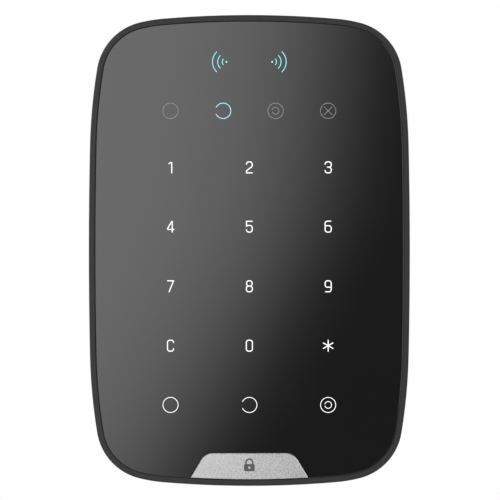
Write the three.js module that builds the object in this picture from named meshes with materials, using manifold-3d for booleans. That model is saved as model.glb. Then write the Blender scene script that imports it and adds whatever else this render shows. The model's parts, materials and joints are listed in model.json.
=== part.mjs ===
// A slim wall keypad with a card reader. A bracket screws to the wall, and the case, with its flush
// touch lens, slides down onto the bracket's hooks and is locked there by one screw from below.
// Millimetres. X is the width and Z the height, and the front faces -Y. The origin is the middle of
// the bracket's rear face, which lies on the wall. A "depth" is a distance out from the wall.

import * as THREE from 'three';
import { mergeVertices } from 'three/addons/utils/BufferGeometryUtils.js';
import Module from 'manifold-3d';

// ---- driving dimensions ----

const WIDTH = 112.5;
const HEIGHT = 165;
const DEPTH = 20;

// Each quarter of the outline is five arcs that meet tangentially. An arc ends where the outline's
// normal reaches the stated angle. The long side and end arcs take the radii that close the shape.
const ARC_ENDS = [0, 1.25, 9.35, 75.8, 85.13, 90];
const ARC_STEPS = [2, 3, 7, 2, 2];
const SIDE_SHOULDER_RADIUS = 193.5;
const CORNER_RADIUS = 19.7;
const END_SHOULDER_RADIUS = 52;

const GAP = 0.05; // between neighbours that rest on each other
const CLEARANCE = 0.3; // round pieces that slide past another
const ROUND = 16; // sides of a small round piece

// depths, from the wall outwards
const PLATE = 1.5; // bracket plate
const CASE_BACK = 0.5;
const FLOOR_BACK = 1.7;
const FLOOR_FRONT = 2.7;
const PARTING = 12; // where rear case and front frame meet
const LEDGE_BACK = 17.2;
const BOARD_BACK = 17.3;
const BOARD_FRONT = 18.1;
const LEDGE_FRONT = 18.4;
const LENS_BACK = 18.45;

// distances in from the outline
const RIM = 1.95;
const LENS_INSET = 2.2;
const LEDGE_INSET = 4.2;
const BOARD_INSET = 4.6;
const WALL = 1.7;
const RIM_EDGE = 0.5; // rounding of the rim's outer edge
const CASE_INSET = 0.2; // the rear case steps in from the front frame by this
const CASE_TAPER = 3.8; // and then curves in by this towards the wall
const POCKET_INSET = 5.4; // recess for the bracket in the back of the case
const BRACKET_INSET = 5.9;
const BRACKET_HALF_WIDTH = 49;

// badge: a trapezoid that stands on the lens's lower edge
const BADGE_TOP = -70.9;
const BADGE_FOOT = -82;
const BADGE_TOP_HALF = 15.5;
const BADGE_SLOPE = 0.6; // sideways run for each millimetre down
const BADGE_CORNER = 5;
const BADGE_GAP = 0.12;
const BADGE_SHELF = { half: 23, top: -69.5 };

// legends
const KEY_COLUMNS = [-27.6, 0, 27.6];
const KEY_ROWS = [29.1, 8.35, -12.55, -33.35];
const MODE_ROW = -54.1;
const INDICATOR_COLUMNS = [-27.6, -9.2, 9.2, 27.6];
const INDICATOR_ROW = 48.9;
const READER_ICON = { x: 8, z: 66.05 };
const KEY_WINDOW = { width: 3.4, height: 5 };
const ICON_WINDOW = { width: 6.2, height: 6.2 };
const LED = { width: 1.6, height: 2.8, thickness: 0.7 };

// AA cells, side by side and upright
const CELL_RADIUS = 7.1;
const CELL_LENGTH = 50.5;
const CELL_NUB = { radius: 2.7, length: 1.2 };
const CELL_PITCH = 15;
const CELL_DEPTH = 10; // of each cell's axis
const CELL_COLUMNS = [-1.5, -0.5, 0.5, 1.5].map((place) => place * CELL_PITCH);
const BAY = { bottom: -36.3, top: 20.2 };
const TRAY_WALL = 1.2;
const TRAY_FRONT = 15;
const RIB = { width: 2.4, front: 6.5 };
const CONTACT = { width: 10, thickness: 0.3, back: 6.6, front: 15 };
const SPRING = { wire: 0.3, wide: 3.6, narrow: 1.8, turns: 4, steps: 40, sides: 5 };

// hooks and how the case lifts off them
const LIFT = 7;
const HOOK = { width: 9, foot: 2, lip: 1.2, x: 40, rows: [44, -24] };

// wall screws: an oval hole and an upright pair in the plate, and a round hole in the tamper tab.
// The case has a hollow in front of each for the screw's head, long enough for the case to lift.
const SCREW_HOLE = { width: 4.4, length: 9, headRadius: 4.2, headHeight: 3 };
const WALL_SCREWS = [
  { x: 0, z: 60, length: SCREW_HOLE.length, height: SCREW_HOLE.width },
  { x: -30, z: -57, length: SCREW_HOLE.width, height: SCREW_HOLE.length },
  { x: 30, z: -57, length: SCREW_HOLE.width, height: SCREW_HOLE.length },
  { x: 0, z: -56, length: SCREW_HOLE.width, height: SCREW_HOLE.width },
];

// case screws, one in each corner
const SCREW_CORNER = 47; // outline normal angle at which a corner screw sits
const SCREW_INSET = 7.2;
const SCREW = { shank: 1.2, head: 2.4, headBack: 2.3, headFront: 4.1, tip: 15.5 };
const BOSS_RADIUS = 3.2;

// lock screw, upright, in the bracket's lip
const LIP = { half: 5, bottom: -79.8, top: -77.5, front: 8.2 };
const LOCK = { depth: 4.6, shank: 1.2, head: 2.2, headTop: -78.55, headBottom: -79.65, tip: -72.5 };

// push buttons on the back
const TAMPER = { x: 0, z: -45, tipRadius: 0.8, radius: 1.5, flange: 2.2 };
const RAMP_SLOPE = 0.11;
const RAMP_LEAD = 1; // the ramp begins this far below the plunger
const POWER = { x: -40, z: -45, radius: 2.6, travel: 0.8 };
const SWITCH = { side: 6, back: 13.8 };

const COIL = { x: 36.5, z: 17.5, middle: 57.5, band: 5, corner: 8 };

// ---- materials ----

const finish = (color, roughness, metalness = 0) =>
  new THREE.MeshStandardMaterial({ color, roughness, metalness });

const MATERIALS = {
  casePlastic: finish(0x3a3b3d, 0.7),
  bracketPlastic: finish(0x2c2d2f, 0.75),
  lensGlass: finish(0x101112, 0.2),
  badgeMetal: finish(0xbfc0c1, 0.4, 0.9),
  steel: finish(0xa8abad, 0.35, 0.95),
  board: finish(0x14331f, 0.5),
  film: finish(0xe8ece8, 0.45),
  copper: finish(0xb8703a, 0.3, 0.9),
  ferrite: finish(0x2a2625, 0.85),
  chip: finish(0x161617, 0.5),
  button: finish(0x6d6f72, 0.6),
  tray: finish(0x202123, 0.7),
  cell: finish(0x8f9498, 0.35, 0.8),
  contact: finish(0xc9c6bd, 0.3, 0.9),
  led: finish(0xf0efe4, 0.4),
};

// ---- solids ----

const wasm = await Module();
wasm.setup();

function solidFrom(geometry) {
  const bare = geometry.clone();
  bare.deleteAttribute('normal');
  bare.deleteAttribute('uv');
  const merged = mergeVertices(bare);
  const corners = Array.from(merged.index.array);
  const triangles = [];
  for (let i = 0; i < corners.length; i += 3) {
    const [a, b, c] = corners.slice(i, i + 3);
    if (a !== b && b !== c && c !== a) triangles.push(a, b, c);
  }
  return new wasm.Manifold(new wasm.Mesh({
    numProp: 3,
    vertProperties: new Float32Array(merged.attributes.position.array),
    triVerts: new Uint32Array(triangles),
  }));
}

function geometryFrom(solid) {
  const mesh = solid.getMesh();
  const geometry = new THREE.BufferGeometry();
  geometry.setAttribute('position', new THREE.BufferAttribute(mesh.vertProperties, 3));
  geometry.setIndex(new THREE.BufferAttribute(mesh.triVerts, 1));
  return geometry;
}

const toSolid = (body) => (body.isBufferGeometry ? solidFrom(body) : body);
const join = (first, ...others) =>
  others.reduce((sum, other) => sum.add(toSolid(other)), toSolid(first));
const cut = (first, ...tools) =>
  tools.reduce((rest, tool) => rest.subtract(toSolid(tool)), toSolid(first));
const overlap = (first, second) => toSolid(first).intersect(toSolid(second));

function piece(name, body, material) {
  const geometry = body.isBufferGeometry ? body : geometryFrom(body);
  const mesh = new THREE.Mesh(geometry, material);
  mesh.name = name;
  return mesh;
}

// ---- outline of the device ----

const radians = THREE.MathUtils.degToRad;

// Radii of the five arcs of a quarter: the first and last follow from the width and the height.
function arcRadii() {
  const angles = ARC_ENDS.map(radians);
  const across = [];
  const along = [];
  for (let i = 0; i < 5; i += 1) {
    across.push(Math.cos(angles[i]) - Math.cos(angles[i + 1]));
    along.push(Math.sin(angles[i + 1]) - Math.sin(angles[i]));
  }
  const middle = [SIDE_SHOULDER_RADIUS, CORNER_RADIUS, END_SHOULDER_RADIUS];
  const restOf = (total, shares) =>
    total - middle.reduce((sum, radius, i) => sum + radius * shares[i + 1], 0);
  const restX = restOf(WIDTH / 2, across);
  const restZ = restOf(HEIGHT / 2, along);
  const determinant = across[0] * along[4] - across[4] * along[0];
  const side = (restX * along[4] - across[4] * restZ) / determinant;
  const end = (across[0] * restZ - restX * along[0]) / determinant;
  return [side, ...middle, end];
}

const RADII = arcRadii();

// The point whose outward normal stands at the angle from +X, moved in by the inset.
function outlinePoint(angle, inset) {
  const half = angle % 180;
  const folded = radians(Math.min(half, 180 - half));
  let x = WIDTH / 2;
  let z = 0;
  RADII.forEach((radius, i) => {
    const start = radians(ARC_ENDS[i]);
    const end = Math.min(folded, radians(ARC_ENDS[i + 1]));
    if (end > start) {
      x -= radius * (Math.cos(start) - Math.cos(end));
      z += radius * (Math.sin(end) - Math.sin(start));
    }
  });
  x -= inset * Math.cos(folded);
  z -= inset * Math.sin(folded);
  const left = angle > 90 && angle < 270;
  const low = angle > 180;
  return new THREE.Vector2(left ? -x : x, low ? -z : z);
}

function quarterAngles() {
  const angles = [0];
  ARC_STEPS.forEach((steps, i) => {
    for (let step = 1; step <= steps; step += 1) {
      angles.push(THREE.MathUtils.lerp(ARC_ENDS[i], ARC_ENDS[i + 1], step / steps));
    }
  });
  return angles;
}

const QUARTER = quarterAngles();
const UPPER_HALF = [...QUARTER, ...QUARTER.map((angle) => 180 - angle).reverse().slice(1)];
const FULL_TURN = [...UPPER_HALF, ...UPPER_HALF.slice(1, -1).map((angle) => angle + 180)];

const outlineShape = (inset) =>
  new THREE.Shape(FULL_TURN.map((angle) => outlinePoint(angle, inset)));

// ---- building blocks ----

const LAID_UPRIGHT = new THREE.Matrix4().makeRotationX(Math.PI / 2);
const PROFILE_TO_SIDE = new THREE.Matrix4().makeBasis(
  new THREE.Vector3(0, 0, 1),
  new THREE.Vector3(0, -1, 0),
  new THREE.Vector3(1, 0, 0),
);

// A front-view shape, in X and Z, with its two faces at these depths.
function prism(shape, back, front, curveSegments = 3) {
  const settings = { depth: front - back, bevelEnabled: false, curveSegments };
  return new THREE.ExtrudeGeometry(shape, settings)
    .translate(0, 0, back)
    .applyMatrix4(LAID_UPRIGHT);
}

// A side-view outline, as points of height and depth, from one X to another.
function sideProfile(points, left, right) {
  const shape = new THREE.Shape(points.map(([z, depth]) => new THREE.Vector2(z, depth)));
  return new THREE.ExtrudeGeometry(shape, { depth: right - left, bevelEnabled: false })
    .translate(0, 0, left)
    .applyMatrix4(PROFILE_TO_SIDE);
}

const block = (left, right, bottom, top, back, front) =>
  new THREE.BoxGeometry(right - left, front - back, top - bottom)
    .translate((left + right) / 2, -(back + front) / 2, (bottom + top) / 2);

const blockAt = (x, z, width, height, back, front) =>
  block(x - width / 2, x + width / 2, z - height / 2, z + height / 2, back, front);

// A round bar that runs out from the wall.
const post = (x, z, radius, back, front) =>
  new THREE.CylinderGeometry(radius, radius, front - back, ROUND)
    .translate(x, -(back + front) / 2, z);

// A round bar that stands upright.
const rod = (x, depth, radius, bottom, top) =>
  new THREE.CylinderGeometry(radius, radius, top - bottom, ROUND)
    .rotateX(Math.PI / 2)
    .translate(x, -depth, (bottom + top) / 2);

// Turned pieces. A profile lists radius and position along the axis, and ends on the axis.
const turned = (profile) =>
  new THREE.LatheGeometry(profile.map(([radius, along]) => new THREE.Vector2(radius, along)), ROUND);
const turnedOutward = (profile, x, z) => turned(profile).rotateX(Math.PI).translate(x, 0, z);
const turnedUpright = (profile, x, depth) =>
  turned(profile).rotateX(Math.PI / 2).translate(x, -depth, 0);

// A shape with rounded corners. Each corner is [x, z, radius], anticlockwise.
function roundedShape(corners) {
  const shape = new THREE.Shape();
  corners.forEach(([x, z, radius], i) => {
    const [beforeX, beforeZ] = corners.at(i - 1);
    const [afterX, afterZ] = corners[(i + 1) % corners.length];
    const before = new THREE.Vector2(beforeX - x, beforeZ - z).normalize();
    const after = new THREE.Vector2(afterX - x, afterZ - z).normalize();
    const halfAngle = Math.acos(before.dot(after)) / 2;
    const centre = before.clone().add(after).setLength(radius / Math.sin(halfAngle));
    const trim = radius / Math.tan(halfAngle);
    const start = before.multiplyScalar(trim).sub(centre).angle();
    const end = after.multiplyScalar(trim).sub(centre).angle();
    shape.absarc(x + centre.x, z + centre.y, radius, start, end, false);
  });
  return shape;
}

const roundedRectangle = (x, z, width, height, radius) =>
  roundedShape([
    [x - width / 2, z - height / 2, radius],
    [x + width / 2, z - height / 2, radius],
    [x + width / 2, z + height / 2, radius],
    [x - width / 2, z + height / 2, radius],
  ]);

// A slab of the device's outline: square at one depth, with a rounded edge at the other.
function softSlab(inset, squareEnd, softEnd, edgeWidth, edgeDepth, segments) {
  const back = Math.min(squareEnd, softEnd);
  const front = Math.max(squareEnd, softEnd);
  const body = new THREE.ExtrudeGeometry(outlineShape(inset), {
    depth: front - back - edgeDepth,
    bevelThickness: edgeDepth,
    bevelSize: edgeWidth,
    bevelOffset: -edgeWidth,
    bevelSegments: segments,
  });
  body.translate(0, 0, softEnd < squareEnd ? back + edgeDepth : back);
  body.applyMatrix4(LAID_UPRIGHT);
  return overlap(body, blockAt(0, 0, 2 * WIDTH, 2 * HEIGHT, back, front));
}

const screwPlaces = [SCREW_CORNER, 180 - SCREW_CORNER, 180 + SCREW_CORNER, 360 - SCREW_CORNER]
  .map((angle) => outlinePoint(angle, SCREW_INSET));

// ---- bracket ----

// Side view of a hook: a foot through the case's floor, and a lip that points up behind it.
function hook(x, z) {
  const lipBack = FLOOR_FRONT + CLEARANCE;
  const lipFront = lipBack + HOOK.lip;
  const lipTop = z + HOOK.foot + LIFT - 2 * CLEARANCE;
  const outline = [
    [z, PLATE / 2], [z + HOOK.foot, PLATE / 2], [z + HOOK.foot, lipBack],
    [lipTop, lipBack], [lipTop, lipFront], [z, lipFront],
  ];
  return sideProfile(outline, x - HOOK.width / 2, x + HOOK.width / 2);
}

// Hollow that the tamper button's tip runs down as the case is lifted.
function tamperRamp() {
  const bottom = TAMPER.z - RAMP_LEAD;
  const top = TAMPER.z + LIFT + TAMPER.radius + CLEARANCE;
  const low = PLATE - RAMP_SLOPE * (top - bottom);
  const half = TAMPER.radius + 2 * CLEARANCE;
  return sideProfile([[bottom, PLATE], [top, low], [top, PLATE + 1], [bottom, PLATE + 1]], -half, half);
}

// Slits that leave the tamper tab held by thin bridges, so that it breaks off with the case.
function tamperTabSlits() {
  const half = 8.5;
  const top = TAMPER.z + 13;
  const bottom = TAMPER.z - 17;
  const slit = 1;
  const bridge = 1.6;
  const middle = (top + bottom) / 2;
  const sides = [-half, half].flatMap((x) => [
    block(x - slit / 2, x + slit / 2, bottom, middle - bridge, -1, PLATE + 1),
    block(x - slit / 2, x + slit / 2, middle + bridge, top, -1, PLATE + 1),
  ]);
  const ends = [top, bottom].flatMap((z) => [
    block(-half - slit / 2, -bridge, z - slit / 2, z + slit / 2, -1, PLATE + 1),
    block(bridge, half + slit / 2, z - slit / 2, z + slit / 2, -1, PLATE + 1),
  ]);
  return [...sides, ...ends];
}

const wallScrewHoles = () =>
  WALL_SCREWS.map(({ x, z, length, height }) =>
    prism(roundedRectangle(x, z, length, height, SCREW_HOLE.width / 2 - 0.01), -1, PLATE + 1));

function wallBracket() {
  const plate = overlap(
    prism(outlineShape(BRACKET_INSET), 0, PLATE),
    block(-BRACKET_HALF_WIDTH, BRACKET_HALF_WIDTH, -HEIGHT, HEIGHT, -1, PLATE + 1),
  );
  const hooks = HOOK.rows.flatMap((z) => [hook(-HOOK.x, z), hook(HOOK.x, z)]);
  const tongue = block(-LIP.half, LIP.half, LIP.bottom, LIP.bottom + 8, 0, PLATE);
  const lip = block(-LIP.half, LIP.half, LIP.bottom, LIP.top, 0, LIP.front);
  const lockHole = rod(0, LOCK.depth, LOCK.shank + GAP, LIP.bottom - 1, LIP.top + 1);
  const lockSeat = rod(0, LOCK.depth, LOCK.head + GAP, LIP.bottom - 1, LOCK.headTop + GAP);
  const powerWindow = prism(roundedRectangle(POWER.x, POWER.z, 11, 15, 2), -1, PLATE + 1, 2);
  return cut(
    join(plate, tongue, lip, ...hooks),
    ...wallScrewHoles(), ...tamperTabSlits(), tamperRamp(), powerWindow, lockHole, lockSeat,
  );
}

const lockScrew = () =>
  turnedUpright([
    [0, LOCK.headBottom], [LOCK.head, LOCK.headBottom], [LOCK.head, LOCK.headTop],
    [LOCK.shank, LOCK.headTop], [LOCK.shank, LOCK.tip - 0.8], [LOCK.shank / 2, LOCK.tip],
    [0, LOCK.tip],
  ], 0, LOCK.depth);

// ---- case ----

// Recess in the back of the case, open below so that the case can be lifted off the bracket.
function bracketPocket() {
  const upper = UPPER_HALF.map((angle) => outlinePoint(angle, POCKET_INSET));
  const half = upper[0].x;
  const lower = [new THREE.Vector2(-half, -HEIGHT), new THREE.Vector2(half, -HEIGHT)];
  const full = prism(new THREE.Shape([...upper, ...lower]), CASE_BACK - 1, FLOOR_BACK);
  const limit = BRACKET_HALF_WIDTH + 2 * CLEARANCE;
  return overlap(full, block(-limit, limit, -HEIGHT, HEIGHT, CASE_BACK - 1, FLOOR_BACK + 1));
}

// Slot in the case's floor that lets a whole hook through when the case is lifted.
function hookSlot(x, z) {
  const top = z + HOOK.foot + CLEARANCE;
  const bottom = z - LIFT;
  const half = HOOK.width / 2 + CLEARANCE;
  return block(x - half, x + half, bottom, top, FLOOR_BACK - 1, FLOOR_FRONT + 0.1);
}

// Room for the heads of the wall screws, grown by the wall round it.
function headRooms(back, front, wall) {
  const spread = SCREW_HOLE.headRadius - SCREW_HOLE.width / 2 + wall;
  return WALL_SCREWS.map(({ x, z, length, height }) =>
    blockAt(
      x, z - LIFT / 2, length + 2 * spread, height + LIFT + 2 * spread, back, front + wall,
    ));
}

// Parts of the case's inside that stand on its floor.
function caseFittings() {
  const bosses = screwPlaces.map(({ x, y }) => post(x, y, BOSS_RADIUS, FLOOR_BACK, PARTING));
  const tamperGuide = post(TAMPER.x, TAMPER.z, TAMPER.radius + 1.3, FLOOR_BACK, 9);
  const powerGuide = post(POWER.x, POWER.z, POWER.radius + 1.3, FLOOR_BACK, 9);
  const lockBlock = block(-LIP.half - 2.5, LIP.half + 2.5, -78.5, -70.5, FLOOR_BACK, 10.5);
  const headBoxes = headRooms(FLOOR_BACK, PLATE + SCREW_HOLE.headHeight, FLOOR_FRONT - FLOOR_BACK);
  return [...bosses, tamperGuide, powerGuide, lockBlock, ...headBoxes];
}

function caseHoles() {
  const bores = screwPlaces.flatMap(({ x, y }) => [
    post(x, y, SCREW.shank + GAP, FLOOR_BACK - 1, PARTING + 1),
    post(x, y, SCREW.head + CLEARANCE, FLOOR_BACK - 1, SCREW.headFront + GAP),
  ]);
  const tamperBore = post(TAMPER.x, TAMPER.z, TAMPER.radius + CLEARANCE, 0, PARTING);
  const powerBore = post(POWER.x, POWER.z, POWER.radius + CLEARANCE, 0, PARTING);
  const lipRoom = block(
    -LIP.half - CLEARANCE, LIP.half + CLEARANCE, -HEIGHT, LIP.top + CLEARANCE, 0, LIP.front + 0.8,
  );
  const lockBore = rod(0, LOCK.depth, LOCK.shank + CLEARANCE, -HEIGHT / 2, LOCK.tip + 0.8);
  const slots = HOOK.rows.flatMap((z) => [hookSlot(-HOOK.x, z), hookSlot(HOOK.x, z)]);
  const headRoom = headRooms(FLOOR_BACK - 1, PLATE + SCREW_HOLE.headHeight, 0);
  return [...bores, tamperBore, powerBore, lipRoom, lockBore, ...slots, ...headRoom];
}

function rearCase() {
  const curveDepth = PARTING - CASE_BACK - 0.1;
  const outer = softSlab(CASE_INSET, PARTING, CASE_BACK, CASE_TAPER, curveDepth, 3);
  const room = softSlab(
    CASE_INSET + WALL, PARTING + 1, FLOOR_FRONT, CASE_TAPER, PARTING - FLOOR_FRONT, 3,
  );
  return cut(join(cut(outer, room), ...caseFittings()), bracketPocket(), ...caseHoles());
}

function frontFrame() {
  const outer = softSlab(0, PARTING, DEPTH, RIM_EDGE, RIM_EDGE, 2);
  const lensSeat = prism(outlineShape(RIM), LEDGE_FRONT, DEPTH + 1);
  const room = prism(outlineShape(WALL + CASE_INSET), PARTING - 1, LEDGE_BACK);
  const shelf = block(
    -BADGE_SHELF.half, BADGE_SHELF.half, -HEIGHT / 2, BADGE_SHELF.top, LEDGE_BACK, LEDGE_FRONT,
  );
  const window = cut(prism(outlineShape(LEDGE_INSET), PARTING, DEPTH + 1), shelf);
  const bosses = screwPlaces.map(({ x, y }) => post(x, y, BOSS_RADIUS, PARTING, BOARD_BACK - GAP));
  const pilots = screwPlaces.map(({ x, y }) =>
    post(x, y, SCREW.shank + GAP, PARTING - 1, SCREW.tip + GAP));
  return cut(join(cut(outer, lensSeat, room, window), ...bosses), ...pilots);
}

function badgeShape(grow) {
  const topHalf = BADGE_TOP_HALF + grow;
  const top = BADGE_TOP + grow;
  const footHalf = topHalf + BADGE_SLOPE * (top - BADGE_FOOT);
  return roundedShape([
    [-footHalf, BADGE_FOOT, 0.2], [footHalf, BADGE_FOOT, 0.2],
    [topHalf, top, BADGE_CORNER + grow], [-topHalf, top, BADGE_CORNER + grow],
  ]);
}

function touchLens() {
  const sheet = softSlab(LENS_INSET, LENS_BACK, DEPTH, 0.2, 0.2, 1);
  return cut(sheet, prism(badgeShape(BADGE_GAP), LENS_BACK - 1, DEPTH + 1, 4));
}

const badgePlate = () =>
  overlap(prism(badgeShape(0), LENS_BACK, DEPTH, 4), prism(outlineShape(LENS_INSET), 0, DEPTH + 1));

const shelfNotch = (back, front) =>
  block(
    -BADGE_SHELF.half - CLEARANCE, BADGE_SHELF.half + CLEARANCE,
    -HEIGHT, BADGE_SHELF.top + CLEARANCE, back, front,
  );

const lightGuide = () =>
  cut(
    prism(outlineShape(BOARD_INSET), BOARD_FRONT + GAP, LEDGE_FRONT),
    shelfNotch(BOARD_FRONT - 1, DEPTH),
  );

// ---- board and what it carries ----

const keyPlaces = KEY_ROWS.flatMap((z) => KEY_COLUMNS.map((x) => [x, z]));
const modePlaces = KEY_COLUMNS.map((x) => [x, MODE_ROW]);
const indicatorPlaces = INDICATOR_COLUMNS.map((x) => [x, INDICATOR_ROW]);
const readerPlaces = [-READER_ICON.x, READER_ICON.x].map((x) => [x, READER_ICON.z]);

function touchBoard() {
  const sheet = prism(outlineShape(BOARD_INSET), BOARD_BACK, BOARD_FRONT);
  const through = (places, { width, height }) =>
    places.map(([x, z]) =>
      prism(roundedRectangle(x, z, width, height, 1.2), BOARD_BACK - 1, BOARD_FRONT + 1, 1));
  return cut(
    sheet,
    shelfNotch(BOARD_BACK - 1, BOARD_FRONT + 1),
    ...through(keyPlaces, KEY_WINDOW),
    ...through([...modePlaces, ...indicatorPlaces, ...readerPlaces], ICON_WINDOW),
  );
}

const onBoardBack = (x, z, width, height, thickness) =>
  blockAt(x, z, width, height, BOARD_BACK - GAP - thickness, BOARD_BACK - GAP);

function ledRow(prefix, places) {
  return places.map(([x, z], i) =>
    piece(
      `${prefix}_${i + 1}`,
      onBoardBack(x, z, LED.width, LED.height, LED.thickness),
      MATERIALS.led,
    ));
}

function coilBand(back, front) {
  const { x, z, middle, band, corner } = COIL;
  const outer = roundedRectangle(0, middle, 2 * x, 2 * z, corner);
  const inner = roundedRectangle(0, middle, 2 * (x - band), 2 * (z - band), corner - band / 2);
  return cut(prism(outer, back, front), prism(inner, back - 1, front + 1));
}

// A thin can over the radio, open towards the board.
function radioShield() {
  const can = onBoardBack(17, -63, 15, 11, 2.2);
  return cut(can, onBoardBack(17, -63, 14.4, 10.4, 1.9));
}

// A bent strip: two feet on the board and a long arm that stands off it.
function radioAntenna() {
  const armBack = 11.5;
  const arm = block(-49.4, -49, -30, -4, armBack, armBack + 2);
  const feet = [-30, -22].map((z) => block(-49.4, -49, z, z + 1.5, armBack + 1, BOARD_BACK - GAP));
  return join(arm, ...feet);
}

function buzzer() {
  const front = BOARD_BACK - GAP;
  const back = front - 5;
  return turnedOutward([
    [0, back + 0.8], [1.2, back + 0.8], [1.2, back], [5.6, back], [6, back + 0.4], [6, front],
    [0, front],
  ], 40, -56);
}

function pushSwitch(x, z) {
  const body = onBoardBack(x, z, SWITCH.side, SWITCH.side, BOARD_BACK - GAP - SWITCH.back - 1);
  return join(body, post(x, z, 1.6, SWITCH.back, BOARD_BACK - 1));
}

function tamperButton() {
  const rampUnderTip = PLATE - RAMP_SLOPE * (RAMP_LEAD - TAMPER.tipRadius);
  const tip = rampUnderTip + 0.1;
  const top = SWITCH.back - GAP;
  return turnedOutward([
    [0, tip], [TAMPER.tipRadius, tip], [TAMPER.radius, tip + 0.6], [TAMPER.radius, 11],
    [TAMPER.flange, 11], [TAMPER.flange, 12], [TAMPER.radius, 12], [TAMPER.radius, top], [0, top],
  ], TAMPER.x, TAMPER.z);
}

function powerButton() {
  const top = SWITCH.back - POWER.travel - GAP;
  return turnedOutward([
    [0, FLOOR_BACK], [POWER.radius - 0.3, FLOOR_BACK], [POWER.radius, FLOOR_BACK + 0.3],
    [POWER.radius, 9.6], [1.4, 9.6], [1.4, top], [0, top],
  ], POWER.x, POWER.z);
}

// ---- power ----

// A frame round the cells, with a low rib between each two.
function batteryTray() {
  const half = 2 * CELL_PITCH - CELL_PITCH / 2 + CELL_RADIUS + 0.2;
  const back = FLOOR_FRONT + GAP;
  const outer = block(
    -half - TRAY_WALL, half + TRAY_WALL, BAY.bottom - TRAY_WALL, BAY.top + TRAY_WALL, back, TRAY_FRONT,
  );
  const inner = block(-half, half, BAY.bottom, BAY.top, 0, DEPTH);
  const ribs = [-1, 0, 1].map((place) =>
    blockAt(
      place * CELL_PITCH, (BAY.bottom + BAY.top) / 2,
      RIB.width, BAY.top - BAY.bottom + TRAY_WALL, back, RIB.front,
    ));
  return join(cut(outer, inner), ...ribs);
}

const plateRoom = CONTACT.thickness + 2 * GAP;
const pointsUp = (column) => column % 2 === 0;

// The nub end touches its contact plate, and the spring fills the room at the other end.
function cell(column) {
  const up = pointsUp(column);
  const nubEnd = up ? BAY.top - plateRoom - GAP : BAY.bottom + plateRoom + GAP;
  const away = up ? -1 : 1;
  const profile = [
    [0, nubEnd + away * CELL_LENGTH],
    [CELL_RADIUS - 0.5, nubEnd + away * CELL_LENGTH],
    [CELL_RADIUS, nubEnd + away * (CELL_LENGTH - 0.5)],
    [CELL_RADIUS, nubEnd + away * (CELL_NUB.length + 0.5)],
    [CELL_RADIUS - 0.5, nubEnd + away * CELL_NUB.length],
    [CELL_NUB.radius, nubEnd + away * CELL_NUB.length],
    [CELL_NUB.radius, nubEnd],
    [0, nubEnd],
  ];
  return turnedUpright(up ? profile : profile.reverse(), CELL_COLUMNS[column], CELL_DEPTH);
}

// A plate on an end wall of the bay, across one cell or two.
function contactPlate(firstColumn, lastColumn, atTop) {
  const half = CONTACT.width / 2;
  const wallFace = atTop ? BAY.top - GAP : BAY.bottom + GAP;
  const inside = wallFace + (atTop ? -1 : 1) * CONTACT.thickness;
  return block(
    CELL_COLUMNS[firstColumn] - half, CELL_COLUMNS[lastColumn] + half,
    Math.min(wallFace, inside), Math.max(wallFace, inside), CONTACT.back, CONTACT.front,
  );
}

class ConeHelix extends THREE.Curve {
  constructor(x, depth, start, end) {
    super();
    Object.assign(this, { x, depth, start, end });
  }

  getPoint(t, target = new THREE.Vector3()) {
    const angle = t * SPRING.turns * 2 * Math.PI;
    const radius = THREE.MathUtils.lerp(SPRING.wide, SPRING.narrow, t);
    const z = THREE.MathUtils.lerp(this.start, this.end, t);
    return target.set(
      this.x + radius * Math.cos(angle), radius * Math.sin(angle) - this.depth, z,
    );
  }
}

function contactSpring(column) {
  const up = pointsUp(column);
  const away = up ? 1 : -1;
  const margin = SPRING.wire + 2 * GAP;
  const plateFace = up ? BAY.bottom + plateRoom : BAY.top - plateRoom;
  const cellFace = up ? BAY.top - plateRoom - GAP - CELL_LENGTH
    : BAY.bottom + plateRoom + GAP + CELL_LENGTH;
  const path = new ConeHelix(
    CELL_COLUMNS[column], CELL_DEPTH, plateFace + away * margin, cellFace - away * margin,
  );
  const section = new THREE.Shape();
  section.absarc(0, 0, SPRING.wire, 0, 2 * Math.PI, false);
  return new THREE.ExtrudeGeometry(new THREE.Shape(section.getSpacedPoints(SPRING.sides).slice(0, -1)), {
    steps: SPRING.steps, extrudePath: path,
  });
}

const caseScrew = ({ x, y }) =>
  turnedOutward([
    [0, SCREW.headBack], [SCREW.head, SCREW.headBack], [SCREW.head, SCREW.headFront],
    [SCREW.shank, SCREW.headFront], [SCREW.shank, SCREW.tip - 1], [SCREW.shank / 2, SCREW.tip],
    [0, SCREW.tip],
  ], x, y);

// ---- assembly ----

const keypad = new THREE.Group();

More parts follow.
